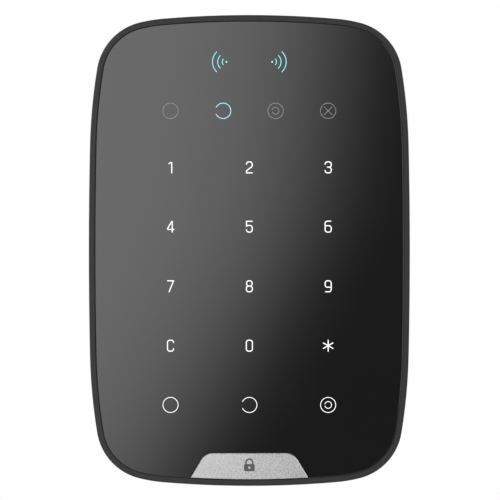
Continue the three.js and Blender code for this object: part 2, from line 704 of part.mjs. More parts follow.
keypad.add(
  piece('wall_bracket', wallBracket(), MATERIALS.bracketPlastic),
  piece('lock_screw', lockScrew(), MATERIALS.steel),
  piece('rear_case', rearCase(), MATERIALS.casePlastic),
  piece('front_frame', frontFrame(), MATERIALS.casePlastic),
  piece('touch_lens', touchLens(), MATERIALS.lensGlass),
  piece('badge_plate', badgePlate(), MATERIALS.badgeMetal),
  piece('light_guide', lightGuide(), MATERIALS.film),
  piece('touch_board', touchBoard(), MATERIALS.board),
  ...ledRow('key_led', keyPlaces),
  ...ledRow('mode_led', modePlaces),
  ...ledRow('indicator_led', indicatorPlaces),
  ...ledRow('reader_led', readerPlaces),
  piece('reader_coil', coilBand(16.9, BOARD_BACK - GAP), MATERIALS.copper),
  piece('ferrite_ring', coilBand(16.4, 16.9 - GAP), MATERIALS.ferrite),
  piece('processor_chip', onBoardBack(-16, -63, 9, 9, 1), MATERIALS.chip),
  piece('reader_chip', onBoardBack(41, 31, 6, 6, 0.9), MATERIALS.chip),
  piece('touch_chip', onBoardBack(-41, 31, 7, 7, 0.9), MATERIALS.chip),
  piece('radio_shield', radioShield(), MATERIALS.steel),
  piece('radio_antenna', radioAntenna(), MATERIALS.contact),
  piece('buzzer', buzzer(), MATERIALS.chip),
  piece('tamper_switch', pushSwitch(TAMPER.x, TAMPER.z), MATERIALS.chip),
  piece('tamper_button', tamperButton(), MATERIALS.button),
  piece('power_switch', pushSwitch(POWER.x, POWER.z), MATERIALS.chip),
  piece('power_button', powerButton(), MATERIALS.button),
  piece('battery_tray', batteryTray(), MATERIALS.tray),
  piece('contact_top_left', contactPlate(0, 0, true), MATERIALS.contact),
  piece('contact_top_middle', contactPlate(1, 2, true), MATERIALS.contact),
  piece('contact_top_right', contactPlate(3, 3, true), MATERIALS.contact),
  piece('contact_bottom_left', contactPlate(0, 1, false), MATERIALS.contact),
  piece('contact_bottom_right', contactPlate(2, 3, false), MATERIALS.contact),
);

CELL_COLUMNS.forEach((x, column) => {
  keypad.add(
    piece(`battery_${column + 1}`, cell(column), MATERIALS.cell),
    piece(`contact_spring_${column + 1}`, contactSpring(column), MATERIALS.steel),
  );
});

screwPlaces.forEach((place, i) => {
  keypad.add(piece(`case_screw_${i + 1}`, caseScrew(place), MATERIALS.steel));
});

export default keypad;
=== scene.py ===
import json
from collections import namedtuple
from math import acos, atan2, cos, e, pi, radians, sin, tan

import bmesh
import bpy
from mathutils import Matrix, Vector
from mathutils.geometry import delaunay_2d_cdt


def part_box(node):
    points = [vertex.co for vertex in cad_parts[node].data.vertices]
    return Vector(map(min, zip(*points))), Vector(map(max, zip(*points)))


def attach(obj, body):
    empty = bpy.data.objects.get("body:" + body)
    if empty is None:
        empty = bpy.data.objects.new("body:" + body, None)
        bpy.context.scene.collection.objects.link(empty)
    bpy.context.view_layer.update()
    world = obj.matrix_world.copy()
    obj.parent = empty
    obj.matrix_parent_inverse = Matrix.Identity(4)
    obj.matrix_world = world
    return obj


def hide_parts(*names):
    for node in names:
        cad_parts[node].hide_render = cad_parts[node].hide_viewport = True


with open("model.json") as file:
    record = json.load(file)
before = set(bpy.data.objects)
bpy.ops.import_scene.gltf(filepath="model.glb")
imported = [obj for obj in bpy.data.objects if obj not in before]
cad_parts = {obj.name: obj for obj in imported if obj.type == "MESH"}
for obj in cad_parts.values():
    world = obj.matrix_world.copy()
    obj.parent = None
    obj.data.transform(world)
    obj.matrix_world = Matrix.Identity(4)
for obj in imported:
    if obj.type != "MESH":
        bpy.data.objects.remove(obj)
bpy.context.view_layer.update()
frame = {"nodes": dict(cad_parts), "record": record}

# A wall keypad with a card reader. Sizes are in millimetres until they become vertices. A depth is a
# distance out from the wall, so it runs along -Y. The shapes that show, the screws, the buttons and
# the cells are made here, round the places that the frame gives. The other pieces inside the case
# keep their CAD shape.

MM = 0.001

# Edges shorter than this, in millimetres, are merged away.
SLIVER = 0.001

Span = namedtuple("Span", "left right low high back front")


def span(node):
    """The box of a CAD node, in millimetres."""
    low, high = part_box(node)
    return Span(*(value / MM for value in (low.x, high.x, low.z, high.z, -high.y, -low.y)))


def middle(node):
    box = span(node)
    return (box.left + box.right) / 2, (box.low + box.high) / 2


FRAME = span("front_frame")
CASE = span("rear_case")
LENS = span("touch_lens")
BADGE = span("badge_plate")
BRACKET = span("wall_bracket")

# ---- the device's outline ----

# Each quarter is five arcs that meet tangentially. An arc ends where the outline's normal reaches
# the stated angle. The first and last radii follow from the width and the height.
ARC_ENDS = (0, 1.25, 9.35, 75.8, 85.13, 90)
ARC_STEPS = (4, 6, 22, 6, 6)
MIDDLE_RADII = (193.5, 19.7, 52.0)


def arc_radii():
    angles = [radians(end) for end in ARC_ENDS]
    across = [cos(a) - cos(b) for a, b in zip(angles, angles[1:])]
    along = [sin(b) - sin(a) for a, b in zip(angles, angles[1:])]
    rest_x = FRAME.right - sum(r * share for r, share in zip(MIDDLE_RADII, across[1:]))
    rest_z = FRAME.high - sum(r * share for r, share in zip(MIDDLE_RADII, along[1:]))
    determinant = across[0] * along[4] - across[4] * along[0]
    side = (rest_x * along[4] - across[4] * rest_z) / determinant
    end = (across[0] * rest_z - rest_x * along[0]) / determinant
    return (side, *MIDDLE_RADII, end)


RADII = arc_radii()


def outline_point(angle, inset):
    """The point whose outward normal stands at the angle from +X, moved in by the inset."""
    half = angle % 180
    folded = radians(min(half, 180 - half))
    x = FRAME.right
    z = 0.0
    for radius, start, end in zip(RADII, ARC_ENDS, ARC_ENDS[1:]):
        first = radians(start)
        last = min(folded, radians(end))
        if last > first:
            x -= radius * (cos(first) - cos(last))
            z += radius * (sin(last) - sin(first))
    x -= inset * cos(folded)
    z -= inset * sin(folded)
    return (-x if 90 < angle < 270 else x), (-z if angle > 180 else z)


def quarter_angles():
    angles = [0.0]
    for steps, start, end in zip(ARC_STEPS, ARC_ENDS, ARC_ENDS[1:]):
        angles += [start + (end - start) * step / steps for step in range(1, steps + 1)]
    return angles


QUARTER = quarter_angles()
UPPER_HALF = QUARTER + [180 - angle for angle in reversed(QUARTER[:-1])]
FULL_TURN = UPPER_HALF + [angle + 180 for angle in UPPER_HALF[1:-1]]


def outline(inset):
    return [outline_point(angle, inset) for angle in FULL_TURN]


# ---- flat shapes ----


def round_corners(corners, closed=True, steps=6):
    """Points along a line through (x, z, radius) corners, each rounded by its radius."""
    points = []
    for i, (x, z, radius) in enumerate(corners):
        is_end = not closed and i in (0, len(corners) - 1)
        if radius == 0 or is_end:
            points.append((x, z))
            continue
        here = Vector((x, z))
        before = (Vector(corners[i - 1][:2]) - here).normalized()
        after = (Vector(corners[(i + 1) % len(corners)][:2]) - here).normalized()
        half = acos(max(-1.0, min(1.0, before.dot(after)))) / 2
        centre = here + (before + after).normalized() * radius / sin(half)
        start = here + before * radius / tan(half) - centre
        turn = pi - 2 * half
        if before.x * after.y - before.y * after.x > 0:
            turn = -turn
        first = atan2(start.y, start.x)
        for step in range(steps + 1):
            angle = first + turn * step / steps
            points.append((centre.x + radius * cos(angle), centre.y + radius * sin(angle)))
    return points


def rounded_rectangle(x, z, width, height, radius, steps=6):
    w, h = width / 2, height / 2
    corners = [(x - w, z - h), (x + w, z - h), (x + w, z + h), (x - w, z + h)]
    return round_corners([(*corner, radius) for corner in corners], steps=steps)


def circle(x, z, radius, count=48, start=0.0, turn=2 * pi):
    """Points round a circle, or along part of one with both its ends."""
    last = count if turn == 2 * pi else count - 1
    angles = [start + turn * i / last for i in range(count)]
    return [(x + radius * cos(angle), z + radius * sin(angle)) for angle in angles]


# ---- mesh work ----


def at(x, depth, z):
    return Vector((x, -depth, z)) * MM


def loft(mesh, rings, closed=False):
    """Joins rings of equal count into a skin, with a cap at each end unless it closes on itself."""
    loops = [[mesh.verts.new(point) for point in ring] for ring in rings]
    pairs = list(zip(loops, loops[1:]))
    if closed:
        pairs.append((loops[-1], loops[0]))
    else:
        mesh.faces.new(list(reversed(loops[0])))
        mesh.faces.new(loops[-1])
    count = len(loops[0])
    for near, far in pairs:
        for i in range(count):
            j = (i + 1) % count
            mesh.faces.new((near[i], near[j], far[j], far[i]))


def slab(mesh, points, back, front, edge=0.0, steps=3):
    """A flat shape made thick. Its front edge is rounded by moving the points in to the middle line."""
    rings = [[at(x, back, z) for x, z in points]]
    if edge:
        inward = leftward(points)
        for step in range(steps + 1):
            angle = pi / 2 * step / steps
            inset = edge * (1 - cos(angle))
            depth = front - edge * (1 - sin(angle))
            rings.append([
                at(x + inset * nx, depth, z + inset * nz)
                for (x, z), (nx, nz) in zip(points, inward)
            ])
    else:
        rings.append([at(x, front, z) for x, z in points])
    loft(mesh, rings)


def leftward(points, closed=True):
    """For each point of a line, the direction that moves both its sides to the left by one.

    Along an anticlockwise shape that is inwards.
    """
    directions = []
    for i, point in enumerate(points):
        here = Vector(point)
        before = here - Vector(points[i - 1])
        after = Vector(points[(i + 1) % len(points)]) - here
        if not closed and i == 0:
            before = after
        if not closed and i == len(points) - 1:
            after = before
        first = Vector((-before.y, before.x)).normalized()
        second = Vector((-after.y, after.x)).normalized()
        both = first + second
        both = both * (2 / both.dot(both))
        directions.append((both.x, both.y))
    return directions


def sweep_outline(mesh, profile, closed=False):
    """Skins the device's outline along a profile of (inset, depth) points."""
    rings = [[at(x, depth, z) for x, z in outline(inset)] for inset, depth in profile]
    loft(mesh, rings, closed)


def turn_profile(mesh, profile, place, count=48):
    """Turns a profile of (radius, along) about an axis through a place. It starts and ends on it."""
    rings = []
    for radius, along in profile[1:-1]:
        ring = []
        for i in range(count):
            u = radius * cos(2 * pi * i / count)
            v = radius * sin(2 * pi * i / count)
            ring.append(place(u, v, along))
        rings.append([mesh.verts.new(point) for point in ring])
    start = mesh.verts.new(place(0, 0, profile[0][1]))
    end = mesh.verts.new(place(0, 0, profile[-1][1]))
    for i in range(count):
        j = (i + 1) % count
        mesh.faces.new((start, rings[0][j], rings[0][i]))
        mesh.faces.new((rings[-1][i], rings[-1][j], end))
        for near, far in zip(rings, rings[1:]):
            mesh.faces.new((near[i], near[j], far[j], far[i]))


def turned(name, profile, place, material, count=48):
    mesh = bmesh.new()
    turn_profile(mesh, profile, place, count)
    return new_object(name, mesh, material)


def outward_from(x, z):
    """Placement for a piece turned about a line that runs out from the wall."""
    return lambda u, v, along: at(x + u, along, z + v)


def upright_from(x, depth):
    """Placement for a piece turned about an upright line."""
    return lambda u, v, along: at(x + u, depth + v, along)


def new_object(name, mesh, material=None, smooth_angle=30):
    """Makes an object of a bmesh, with its faces outward and smooth up to the angle."""
    bmesh.ops.recalc_face_normals(mesh, faces=mesh.faces)
    data = bpy.data.meshes.new(name)
    mesh.to_mesh(data)
    mesh.free()
    data.polygons.foreach_set("use_smooth", [True] * len(data.polygons))
    data.set_sharp_from_angle(angle=radians(smooth_angle))
    obj = bpy.data.objects.new(name, data)
    bpy.context.scene.collection.objects.link(obj)
    if material:
        data.materials.append(material)
    return obj


def applied(obj, smooth_angle=30, sliver=None):
    """Puts an object's modifiers into its mesh, and clears the slivers that they leave."""
    graph = bpy.context.evaluated_depsgraph_get()
    data = bpy.data.meshes.new_from_object(obj.evaluated_get(graph))
    mesh = bmesh.new()
    mesh.from_mesh(data)
    smallest = sliver or SLIVER * MM
    bmesh.ops.remove_doubles(mesh, verts=mesh.verts, dist=smallest)
    bmesh.ops.dissolve_degenerate(mesh, edges=mesh.edges, dist=smallest)
    mesh.to_mesh(data)
    mesh.free()
    obj.modifiers.clear()
    obj.data = data
    data.polygons.foreach_set("use_smooth", [True] * len(data.polygons))
    data.set_sharp_from_angle(angle=radians(smooth_angle))
    return obj


def scale_mesh(obj, factor):
    obj.data.transform(Matrix.Scale(factor, 4))


def combine(obj, tools, operation):
    """Joins or cuts an object with others, which are used up. The work is done in millimetres."""
    scale_mesh(obj, 1 / MM)
    for other in tools:
        scale_mesh(other, 1 / MM)
        step = obj.modifiers.new("combine", "BOOLEAN")
        step.operation = operation
        step.object = other
        step.solver = "EXACT"
        applied(obj, sliver=SLIVER)
        bpy.data.objects.remove(other)
    scale_mesh(obj, MM)
    return obj


def cut(obj, *tools):
    return combine(obj, tools, "DIFFERENCE")


def join(obj, *tools):
    return combine(obj, tools, "UNION")


def soften(obj, width, segments=2, angle=35):
    """Rounds the sharp edges by a small width."""
    bevel = obj.modifiers.new("soften", "BEVEL")
    bevel.width = width * MM
    bevel.segments = segments
    bevel.limit_method = "ANGLE"
    bevel.angle_limit = radians(angle)
    bevel.miter_outer = "MITER_ARC"
    bevel.use_clamp_overlap = True
    return applied(obj)


def tool(build, *arguments, **settings):
    """An object made by one of the mesh functions, to join or cut with."""
    mesh = bmesh.new()
    build(mesh, *arguments, **settings)
    return new_object("tool", mesh)


def box_tool(left, right, low, high, back, front):
    points = [(left, low), (right, low), (right, high), (left, high)]
    return tool(slab, points, back, front)


def post_tool(x, z, radius, back, front, count=40):
    return tool(slab, circle(x, z, radius, count), back, front)


def rod_tool(x, depth, radius, low, high, count=40):
    profile = [(0, low), (radius, low), (radius, high), (0, high)]
    return tool(turn_profile, profile, upright_from(x, depth), count)


def finish_piece(obj, body, slot, *nodes):
    """Puts a piece on its CAD body, in place of the CAD nodes it stands for."""
    flat = obj.modifiers.new("flat faces keep their normals", "WEIGHTED_NORMAL")
    flat.weight = 100
    flat.keep_sharp = True
    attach(obj, body)
    if nodes:
        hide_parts(*nodes)
    return obj


# ---- materials ----


def node(tree, kind, **settings):
    made = tree.nodes.new(kind)
    for name, value in settings.items():
        setattr(made, name, value)
    return made


def math_node(tree, operation, first, second=0.0):
    made = node(tree, "ShaderNodeMath", operation=operation)
    for socket, value in zip(made.inputs, (first, second)):
        if isinstance(value, (int, float)):
            socket.default_value = value
        else:
            tree.links.new(value, socket)
    return made.outputs[0]


def noise(tree, coordinates, per_mm, detail=2.0, stretch=None):
    """Noise whose features are about this many to the millimetre."""
    if stretch:
        mapping = node(tree, "ShaderNodeMapping")
        mapping.inputs["Scale"].default_value = stretch
        tree.links.new(coordinates, mapping.inputs["Vector"])
        coordinates = mapping.outputs["Vector"]
    made = node(tree, "ShaderNodeTexNoise")
    made.inputs["Scale"].default_value = per_mm / MM
    made.inputs["Detail"].default_value = detail
    tree.links.new(coordinates, made.inputs["Vector"])
    return made.outputs["Fac"]


def ranged(tree, value, low, high):
    made = node(tree, "ShaderNodeMapRange")
    made.inputs["From Min"].default_value = 0.3
    made.inputs["From Max"].default_value = 0.7
    made.inputs["To Min"].default_value = low
    made.inputs["To Max"].default_value = high
    tree.links.new(value, made.inputs["Value"])
    return made.outputs["Result"]


def blend_colors(tree, factor, first, second):
    made = node(tree, "ShaderNodeMix", data_type="RGBA")
    for name, value in (("Factor", factor), ("A", first), ("B", second)):
        socket = next(s for s in made.inputs if s.name == name and s.enabled)
        if isinstance(value, tuple):
            socket.default_value = (*value, 1.0)
        elif isinstance(value, float):
            socket.default_value = value
        else:
            tree.links.new(value, socket)
    return next(s for s in made.outputs if s.enabled)


def bump(tree, height, distance, strength=1.0, below=None):
    made = node(tree, "ShaderNodeBump")
    made.inputs["Distance"].default_value = distance * MM
    made.inputs["Strength"].default_value = strength
    tree.links.new(height, made.inputs["Height"])
    if below:
        tree.links.new(below, made.inputs["Normal"])
    return made.outputs["Normal"]


def surface(name, metallic=0.0, specular=0.5, coat=0.0):
    """A new material: its tree, its shader and its object coordinates."""
    material = bpy.data.materials.new(name)
    material.use_nodes = True
    tree = material.node_tree
    shader = tree.nodes["Principled BSDF"]
    shader.inputs["Metallic"].default_value = metallic
    shader.inputs["Specular IOR Level"].default_value = specular
    shader.inputs["Coat Weight"].default_value = coat
    coordinates = node(tree, "ShaderNodeTexCoord").outputs["Object"]
    return material, tree, shader, coordinates


def wire(tree, shader, color, roughness, normal):
    """Links what varies over a surface to its shader."""
    for name, value in (("Base Color", color), ("Roughness", roughness), ("Normal", normal)):
        tree.links.new(value, shader.inputs[name])


def shaded(color, factor):
    return tuple(channel * factor for channel in color)


def moulded_plastic(name, color, roughness, grain=5.0, height=0.012, specular=0.4):
    """Plastic with the fine spark texture of a mould, and slight cloudiness."""
    material, tree, shader, where = surface(name, specular=specular)
    cloud = noise(tree, where, 0.08, detail=4)
    fine = noise(tree, where, grain, detail=3)
    tint = blend_colors(tree, ranged(tree, cloud, 0, 1), shaded(color, 0.94), shaded(color, 1.06))
    speck = blend_colors(tree, ranged(tree, fine, 0, 0.25), tint, shaded(color, 1.35))
    rough = ranged(tree, fine, roughness - 0.06, roughness + 0.06)
    wire(tree, shader, speck, rough, bump(tree, fine, height))
    return material


def touch_glass(name, color):
    """Dark glass, printed behind, with faint smears where fingers go and a very slight waviness."""
    material, tree, shader, where = surface(name, specular=0.5)
    smear = noise(tree, where, 0.05, detail=5, stretch=(1.0, 1.0, 0.55))
    dust = noise(tree, where, 3.0, detail=1)
    wave = noise(tree, where, 0.02, detail=1)
    shader.inputs["Base Color"].default_value = (*color, 1.0)
    rough = ranged(tree, smear, GLASS_ROUGHNESS - 0.012, GLASS_ROUGHNESS + 0.02)
    speck = math_node(tree, "MULTIPLY", ranged(tree, dust, 0, 1), 0.005)
    tree.links.new(math_node(tree, "ADD", rough, speck), shader.inputs["Roughness"])
    tree.links.new(bump(tree, wave, 0.002), shader.inputs["Normal"])
    return material


def brushed_metal(name, color, roughness, stretch, height=0.004, per_mm=1.2, shades=(0.9, 1.08)):
    """Metal whose fine scratches run one way."""
    material, tree, shader, where = surface(name, metallic=1.0)
    lines = noise(tree, where, per_mm, detail=3, stretch=stretch)
    cloud = noise(tree, where, 0.15, detail=3)
    shade = math_node(tree, "ADD", math_node(tree, "MULTIPLY", lines, 0.7),
                      math_node(tree, "MULTIPLY", cloud, 0.3))
    dark, light = (shaded(color, factor) for factor in shades)
    tint = blend_colors(tree, ranged(tree, shade, 0, 1), dark, light)
    rough = ranged(tree, lines, roughness - 0.06, roughness + 0.08)
    wire(tree, shader, tint, rough, bump(tree, lines, height))
    return material


def split(tree, coordinates):
    made = node(tree, "ShaderNodeSeparateXYZ")
    tree.links.new(coordinates, made.inputs["Vector"])
    return made.outputs["X"], made.outputs["Z"]


def from_nearest(tree, value, first, pitch):
    """How far a value is from the nearest of evenly spaced lines, all in millimetres."""
    shifted = math_node(tree, "SUBTRACT", value, first * MM)
    return math_node(tree, "PINGPONG", shifted, pitch / 2 * MM)


def circuit_board(name):
    """Green solder mask over copper: a square electrode under each key and hatched ground between."""
    material, tree, shader, where = surface(name, specular=0.5, coat=0.3)
    bare, over_copper, moat_color = (0.010, 0.062, 0.030), (0.022, 0.125, 0.055), (0.006, 0.040, 0.020)
    x, z = split(tree, where)
    left, top = middle("key_led_1")
    right, bottom = middle("key_led_12")
    column = from_nearest(tree, x, left, (right - left) / 2)
    row = from_nearest(tree, z, top, (top - bottom) / 3)
    reach = math_node(tree, "MAXIMUM", column, row)
    beside_keys = math_node(tree, "GREATER_THAN", math_node(tree, "ABSOLUTE", x), 36 * MM)
    above_keys = math_node(tree, "GREATER_THAN", z, 39 * MM)
    beyond_keys = math_node(tree, "MAXIMUM", beside_keys, above_keys)
    reach = math_node(tree, "MAXIMUM", reach, beyond_keys)
    electrode = math_node(tree, "LESS_THAN", reach, 6.4 * MM)
    moat = math_node(tree, "LESS_THAN", reach, 7.2 * MM)
    hatch_pitch, line = 1.6, 0.3
    rising = from_nearest(tree, math_node(tree, "ADD", x, z), 0, hatch_pitch)
    falling = from_nearest(tree, math_node(tree, "SUBTRACT", x, z), 0, hatch_pitch)
    hatch = math_node(tree, "LESS_THAN", math_node(tree, "MINIMUM", rising, falling), line * MM)
    outside = math_node(tree, "MULTIPLY", hatch, math_node(tree, "SUBTRACT", 1.0, moat))
    copper = math_node(tree, "MAXIMUM", outside, electrode)
    ground = blend_colors(tree, moat, bare, moat_color)
    cloud = noise(tree, where, 0.2, detail=3)
    color = blend_colors(tree, copper, ground, over_copper)
    wire(tree, shader, color, ranged(tree, cloud, 0.3, 0.42), bump(tree, copper, 0.03))
    return material


def speckled(name, color, other, roughness, per_mm, height, metallic=0.0):
    """A body of one colour with grains of another, such as ferrite, phosphor or diffuser film."""
    material, tree, shader, where = surface(name, metallic=metallic)
    grains = noise(tree, where, per_mm, detail=4)
    tint = blend_colors(tree, ranged(tree, grains, 0, 1), color, other)
    rough = ranged(tree, grains, roughness - 0.08, roughness + 0.08)
    wire(tree, shader, tint, rough, bump(tree, grains, height))
    return material


def coil_tracks(name):
    """Flex circuit: copper turns that run round the loop, under amber film."""
    material, tree, shader, where = surface(name, coat=0.5)
    box = span("reader_coil")
    centre_x, centre_z = middle("reader_coil")
    x, z = split(tree, where)
    across = math_node(tree, "ABSOLUTE", math_node(tree, "SUBTRACT", x, centre_x * MM))
    up = math_node(tree, "ABSOLUTE", math_node(tree, "SUBTRACT", z, centre_z * MM))
    lead = ((box.right - box.left) - (box.high - box.low)) / 2
    level = math_node(tree, "MAXIMUM", math_node(tree, "SUBTRACT", across, lead * MM), up)
    copper = math_node(tree, "LESS_THAN", from_nearest(tree, level, 0, 0.9), 0.3 * MM)
    color = blend_colors(tree, copper, (0.30, 0.13, 0.03), (0.72, 0.36, 0.16))
    cloud = noise(tree, where, 0.4, detail=3)
    tree.links.new(math_node(tree, "MULTIPLY", copper, 0.8), shader.inputs["Metallic"])
    wire(tree, shader, color, ranged(tree, cloud, 0.25, 0.36), bump(tree, copper, 0.02))
    return material


def cell_wrap(name):
    """Shrink-wrapped cell: a silver sleeve with a blue-grey band over one third of its height."""
    material, tree, shader, where = surface(name, metallic=0.6, coat=0.4)
    cell = span("battery_1")
    band_top = cell.low + (cell.high - cell.low) / 3
    above = math_node(tree, "GREATER_THAN", split(tree, where)[1], band_top * MM)
    color = blend_colors(tree, above, (0.10, 0.14, 0.19), (0.52, 0.54, 0.56))
    creases = noise(tree, where, 0.5, detail=3, stretch=(1.0, 1.0, 0.15))
    wire(tree, shader, color, ranged(tree, creases, 0.27, 0.33), bump(tree, creases, 0.004))
    return material


def glowing(name, color, strength):
    """A legend lit from behind, a little uneven as printed light windows are."""
    material, tree, shader, where = surface(name, specular=0.3)
    uneven = noise(tree, where, 0.6, detail=2)
    tint = blend_colors(tree, ranged(tree, uneven, 0, 1), shaded(color, 0.95), color)
    shader.inputs["Base Color"].default_value = (*shaded(color, 0.1), 1.0)
    shader.inputs["Roughness"].default_value = 0.4
    tree.links.new(tint, shader.inputs["Emission Color"])
    shader.inputs["Emission Strength"].default_value = strength
    return material


def printed_ink(name, color):
    """Unlit print, matt and slightly mottled."""
    material, tree, shader, where = surface(name, specular=0.2)
    mottle = noise(tree, where, 2.0, detail=2)
    tint = blend_colors(tree, ranged(tree, mottle, 0, 1), shaded(color, 0.9), shaded(color, 1.1))
    tree.links.new(tint, shader.inputs["Base Color"])
    tree.links.new(ranged(tree, mottle, 0.5, 0.62), shader.inputs["Roughness"])
    return material


GLASS_ROUGHNESS = 0.045

rim_plastic = moulded_plastic("rim_plastic", (0.0175, 0.0178, 0.0184), 0.5, specular=0.28)
shell_plastic = moulded_plastic("shell_plastic", (0.026, 0.0264, 0.0272), 0.55, height=0.016)
bracket_plastic = moulded_plastic("bracket_plastic", (0.021, 0.0213, 0.022), 0.6, height=0.02)
tray_plastic = moulded_plastic("tray_plastic", (0.014, 0.014, 0.015), 0.6)
button_plastic = moulded_plastic("button_plastic", (0.17, 0.175, 0.18), 0.5, height=0.008)
chip_plastic = moulded_plastic("chip_plastic", (0.015, 0.015, 0.016), 0.45, grain=8, height=0.006)
glass = touch_glass("touch_glass", (0.0098, 0.0098, 0.0102))
badge_metal = brushed_metal(
    "badge_metal", (0.45, 0.45, 0.453), 0.28, (1, 1, 1), height=0.002, per_mm=1.8, shades=(0.82, 1.14),
)
steel = brushed_metal("steel", (0.55, 0.56, 0.57), 0.32, (0.15, 1, 1))
nickel = brushed_metal("nickel", (0.66, 0.63, 0.56), 0.25, (1, 0.1, 1), 0.002)
board_green = circuit_board("board_green")
coil_copper = coil_tracks("coil_copper")
ferrite = speckled("ferrite", (0.03, 0.026, 0.025), (0.07, 0.065, 0.06), 0.75, 4, 0.02)
film = speckled("film", (0.78, 0.80, 0.79), (0.88, 0.90, 0.89), 0.45, 2.5, 0.01)
phosphor = speckled("phosphor", (0.82, 0.72, 0.25), (0.9, 0.84, 0.45), 0.5, 6, 0.01)
battery_wrap = cell_wrap("battery_wrap")
dark_mark = printed_ink("dark_mark", (0.09, 0.09, 0.093))
dim_print = printed_ink("dim_print", (0.38, 0.38, 0.38))
white_light = glowing("white_light", (1.0, 1.0, 1.0), 1.12)
cyan_light = glowing("cyan_light", (0.36, 0.90, 1.0), 1.4)
pale_cyan_light = glowing("pale_cyan_light", (0.54, 0.88, 0.97), 1.15)
cyan_halo = glowing("cyan_halo", (0.026, 0.11, 0.13), 1.0)

# ---- lens, frame and badge ----

LENS_INSET = FRAME.right - LENS.right
RIM = LENS_INSET - 0.14
RIM_FLAT = 1.94
RIM_CHAMFER = 0.12
GROUND_WIDTH = 0.17
GROUND_DEPTH = 0.08
LEDGE_INSET = 4.2
LEDGE_FRONT = LENS.back - 0.05
LEDGE_BACK = LEDGE_FRONT - 1.2
FRAME_WALL = 1.9
BADGE_GAP = 0.12
SHELF_HALF = 23
SHELF_RISE = 1.4
BOSS_RADIUS = 3.2
PILOT_RADIUS = 1.25
PILOT_END = 15.6
BADGE_HALF = 15.5
BADGE_SLOPE = 0.6
BADGE_SHOULDER = 5


def make_front_frame():
    """Cross-section of the frame, swept round the outline: wall, rounded rim, lens seat and ledge."""
    profile = round_corners([
        (0.0, FRAME.back, 0.12),
        (0.0, FRAME.front, 0.7),
        (RIM_FLAT, FRAME.front, 0.05),
        (RIM, FRAME.front - RIM_CHAMFER, 0.05),
        (RIM, LEDGE_FRONT, 0.1),
        (LEDGE_INSET, LEDGE_FRONT, 0.1),
        (LEDGE_INSET, LEDGE_BACK, 0.1),
        (FRAME_WALL, LEDGE_BACK, 0.3),
        (FRAME_WALL, FRAME.back, 0.12),
    ], steps=5)
    mesh = bmesh.new()
    sweep_outline(mesh, profile, closed=True)
    shell = new_object("frame_shell", mesh, rim_plastic)
    low, high = -FRAME.high + LEDGE_INSET - 0.5, BADGE.high + SHELF_RISE
    shelf = box_tool(-SHELF_HALF, SHELF_HALF, low, high, LEDGE_BACK, LEDGE_FRONT)
    bosses = [post_tool(x, z, BOSS_RADIUS, FRAME.back, LEDGE_BACK + 0.05) for x, z in screw_places()]
    join(shell, shelf, *bosses)
    pilots = [post_tool(x, z, PILOT_RADIUS, FRAME.back - 1, PILOT_END) for x, z in screw_places()]
    cut(shell, *pilots)
    return finish_piece(shell, "keypad", "frame_plastic", "front_frame")


def screw_places():
    return [middle(f"case_screw_{i}") for i in range(1, 5)]


def badge_points(grow, bottom_inset):
    """The badge seen from the front: a trapezoid with blended shoulders on the lens's lower edge.

    With no bottom inset, its foot runs out past the lens's edge.
    """
    top_half = BADGE_HALF + grow
    top = BADGE.high + grow
    slope = BADGE_SLOPE
    foot_low = -FRAME.high - 2
    foot_half = top_half + slope * (top - foot_low)
    corners = [
        (foot_half, foot_low, 0), (top_half, top, BADGE_SHOULDER + grow),
        (-top_half, top, BADGE_SHOULDER + grow), (-foot_half, foot_low, 0),
    ]
    upper = round_corners(corners, closed=False, steps=14)[1:-1]
    if bottom_inset is None:
        return [(-foot_half, foot_low), (foot_half, foot_low), *upper]
    edge = [outline_point(angle / 4, bottom_inset) for angle in range(4 * 240, 4 * 300 + 1)]
    inside = [(x, z) for x, z in edge if abs(x) < top_half + slope * (top - z)]
    corner_x = top_half + slope * (top - inside[-1][1])
    inside[0] = (-corner_x, inside[0][1])
    inside[-1] = (corner_x, inside[-1][1])
    return [*inside, *upper]


def make_lens():
    """A sheet of glass with a ground edge, and a bay in its lower edge for the badge."""
    profile = round_corners([
        (LENS_INSET, LENS.back, 0.0),
        (LENS_INSET, LENS.front - GROUND_DEPTH, 0.02),
        (LENS_INSET + GROUND_WIDTH, LENS.front, 0.02),
        (LENS_INSET + 1, LENS.front, 0.0),
    ], closed=False, steps=3)
    mesh = bmesh.new()
    sweep_outline(mesh, profile)
    lens = new_object("lens", mesh, glass)
    cut(lens, tool(slab, badge_points(BADGE_GAP, None), LENS.back - 1, LENS.front + 1))
    soften(lens, 0.12, angle=75)
    return finish_piece(lens, "keypad", "lens", "touch_lens")


def make_badge():
    mesh = bmesh.new()
    slab(mesh, badge_points(0, LENS_INSET + 0.1), BADGE.back, BADGE.front, edge=0.3, steps=2)
    plate = new_object("badge", mesh, badge_metal, smooth_angle=20)
    return finish_piece(plate, "keypad", "badge_metal", "badge_plate")


# ---- legends: thin inlays in the front of the lens ----

# The kind of triangulation that keeps only what lies inside the loops.
INSIDE_LOOPS = 1

# Points of an inlay that are nearer than this become one.
WELD = 0.001
INLAY_BACK = LENS.front - 0.02
INLAY_FRONT = LENS.front + 0.015
HALO_FRONT = LENS.front + 0.008
KEY_STROKE = 0.36
MODE_RADIUS = 2.65
MODE_STROKE = 0.24
SIGN_RADIUS = 2.7
DIM_STROKE = 0.14
LIT_STROKE = 0.22
LIT_HALO = 0.8
WAVES = ((1.5, 42), (3.1, 46), (4.9, 46))
WAVE_DOT = 0.27
WAVE_STROKE = 0.19
WAVE_HALO = 0.6
KEY_HALF_HEIGHT = 1.92
KEY_HALF_WIDTH = 1.06
KEY_CURVE = 0.8


